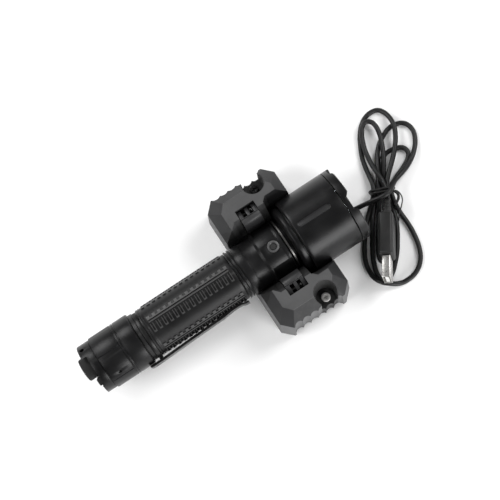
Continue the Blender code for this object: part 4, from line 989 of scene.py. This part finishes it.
# one lead: out of the gland, over the tied waist, then seven turns of the bundle and into the plug
leadSetup = {"diameter": 0.0027, "length": 0.70}
leadOut = [
    (26.5, 0.0, 2.1), (33.0, -0.1, 2.1), (39.0, -0.5, 1.6), (44.5, -1.1, 2.2), (49.0, -1.8, 4.0),
    (53.2, -2.8, 6.4), (57.3, -3.8, 8.6), (61.6, -4.7, 10.0), (65.8, -4.9, 10.4),
    (70.0, -2.7, 8.4), (73.6, -0.6, 6.0),
]
loopC = [
    (77.4, 0.6, 4.6), (82.6, 2.2, 4.0), (87.8, 4.9, 3.8), (92.0, 8.3, 2.6), (95.6, 12.7, 1.5),
    (97.4, 17.4, 1.4), (96.9, 21.4, 1.4), (94.8, 24.1, 1.4), (91.8, 25.4, 1.4), (87.9, 25.7, 1.4),
    (83.4, 24.2, 1.4), (78.8, 21.6, 1.4), (74.4, 17.3, 1.6), (70.8, 12.3, 2.6), (67.8, 7.2, 3.8),
    (65.4, 2.9, 4.2),
]
loopG = [
    (63.4, -0.7, 4.2), (60.4, -5.0, 3.6), (56.4, -10.9, 1.8), (51.9, -17.2, 1.4), (47.6, -23.4, 1.4),
    (44.4, -29.0, 1.4), (43.9, -32.5, 1.4), (45.8, -33.9, 1.4), (48.9, -32.1, 1.4), (52.9, -27.4, 1.4),
    (56.9, -21.3, 1.4), (60.4, -14.9, 1.6), (63.4, -9.2, 3.0),
]
loopA = [
    (66.6, -3.8, 4.2), (69.4, 1.0, 4.3), (73.8, 5.4, 4.3), (78.9, 9.8, 4.3), (83.6, 14.6, 4.3),
    (87.3, 19.3, 4.3), (90.0, 25.0, 4.2), (90.7, 30.6, 2.9), (89.8, 34.8, 1.7), (87.8, 37.3, 1.4),
    (84.8, 38.2, 1.4), (81.0, 37.8, 1.4), (76.8, 35.6, 1.4), (73.2, 32.1, 1.4), (70.1, 27.4, 1.4),
    (66.9, 21.1, 1.4), (64.9, 14.7, 1.8), (63.7, 8.9, 2.8), (62.6, 4.4, 4.0),
]
loopE = [
    (60.9, 0.9, 4.2), (58.2, -2.2, 3.0), (54.7, -5.2, 1.8), (50.9, -8.7, 1.4), (46.6, -13.0, 1.4),
    (42.4, -18.2, 1.4), (38.9, -23.2, 1.4), (36.6, -27.8, 1.4), (35.4, -32.5, 1.6), (35.3, -37.2, 2.8),
    (37.1, -41.5, 4.1), (40.7, -44.9, 3.6), (44.9, -47.3, 1.8), (50.1, -48.1, 1.4), (55.7, -47.0, 1.4),
    (60.8, -43.4, 1.4), (64.1, -37.8, 1.4), (66.0, -30.5, 1.4), (66.7, -22.8, 1.6), (66.5, -16.3, 2.2),
    (66.9, -10.4, 3.2), (68.2, -5.6, 2.6),
]
loopD = [
    (69.8, -2.2, 1.7), (75.3, 0.9, 1.5), (81.5, 3.4, 1.4), (85.9, 5.7, 1.4), (88.2, 8.2, 1.4),
    (88.4, 11.2, 1.4), (86.9, 13.2, 1.4), (84.4, 14.3, 1.4), (81.1, 15.0, 1.4), (77.7, 14.8, 1.4),
    (74.2, 12.9, 1.4), (71.3, 9.8, 1.4), (68.1, 6.0, 1.4), (64.5, 2.0, 1.4),
]
loopF = [
    (61.4, -0.7, 1.4), (57.6, -4.8, 1.4), (53.4, -9.7, 1.4), (49.6, -15.0, 1.4), (45.7, -20.6, 1.4),
    (42.0, -26.4, 1.4), (39.4, -31.9, 1.4), (38.0, -37.0, 1.4), (38.3, -41.0, 1.4), (40.9, -42.1, 1.4),
    (44.9, -40.6, 1.4), (49.0, -37.1, 1.4), (52.9, -33.1, 1.4), (56.6, -28.1, 1.4), (60.4, -22.3, 1.4),
    (63.2, -16.3, 1.4), (64.5, -11.0, 1.4), (65.2, -6.2, 1.4),
]
loopB = [
    (65.9, -2.2, 1.4), (67.2, 0.8, 1.6), (70.0, 4.8, 2.8), (73.4, 9.8, 3.9), (76.6, 15.0, 4.2),
    (79.2, 20.5, 4.2), (81.1, 25.6, 4.2), (81.7, 30.2, 4.2), (80.9, 33.2, 4.2), (78.8, 34.7, 4.2),
    (76.1, 34.0, 4.2), (73.5, 31.1, 4.1), (71.4, 27.1, 3.8), (69.6, 22.1, 3.8), (68.6, 17.2, 4.2),
    (67.9, 12.0, 5.2), (67.7, 6.6, 6.5), (67.4, 2.4, 7.0),
]
leadIn = [(66.6, -1.4, 7.0), (65.9, -4.2, 7.0)]
leadRoute = leadOut + loopC + loopG + loopA + loopE + loopD + loopF + loopB + leadIn
leadPoints = inMetres(leadRoute) + [sleeveEnd, sleeveInside]
lead = makeWire("chargingLead", leadPoints, leadSetup["diameter"] / 2, resolution=5)
lead.data.materials.append(dark["leadVinyl"])
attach(lead, "cradle")
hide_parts("cord_lead", "cord_hank", "cord_tail")

print("stage: table and light")
clearAll()
bpy.ops.mesh.primitive_plane_add(size=6)
floorItem = bpy.context.object
floorItem.name = "tableTop"
floorMaterial, floorTree, floorShader = newMaterial("paleTable")
floorCloud = objectPattern(floorTree, 3.0)
floorTree.links.new(ramp(floorTree, floorCloud, 0.3, 0.7, (0.93, 0.93, 0.93), (0.95, 0.95, 0.95)),
                    floorShader.inputs["Base Color"])
floorShader.inputs["Roughness"].default_value = 0.9
floorShader.inputs["Specular IOR Level"].default_value = 0.1
floorItem.data.materials.append(floorMaterial)

world = bpy.data.worlds.new("softRoom")
world.use_nodes = True
world.node_tree.nodes["Background"].inputs["Color"].default_value = (1, 1, 1, 1)
world.node_tree.nodes["Background"].inputs["Strength"].default_value = 0.2
scene.world = world
scene.view_settings.view_transform = "Standard"

lightSetup = [
    {"name": "headSoftbox", "at": (1.00, 0.10, 1.10), "size": 0.8, "power": 13.0},
    {"name": "tailSoftbox", "at": (-1.10, 0.10, 1.10), "size": 0.8, "power": 13.0},
    {"name": "leftSoftbox", "at": (-0.30, 1.05, 0.85), "size": 0.6, "power": 9.0},
    {"name": "rightSoftbox", "at": (0.25, -1.10, 0.42), "size": 0.6, "power": 11.0},
]
for setup in lightSetup:
    data = bpy.data.lights.new(setup["name"], "AREA")
    data.size = setup["size"]
    data.energy = setup["power"]
    item = bpy.data.objects.new(setup["name"], data)
    scene.collection.objects.link(item)
    item.location = setup["at"]
    item.rotation_euler = (Vector((0, 0, 0.02)) - Vector(setup["at"])).to_track_quat("-Z", "Y").to_euler()

bpy.context.view_layer.update()
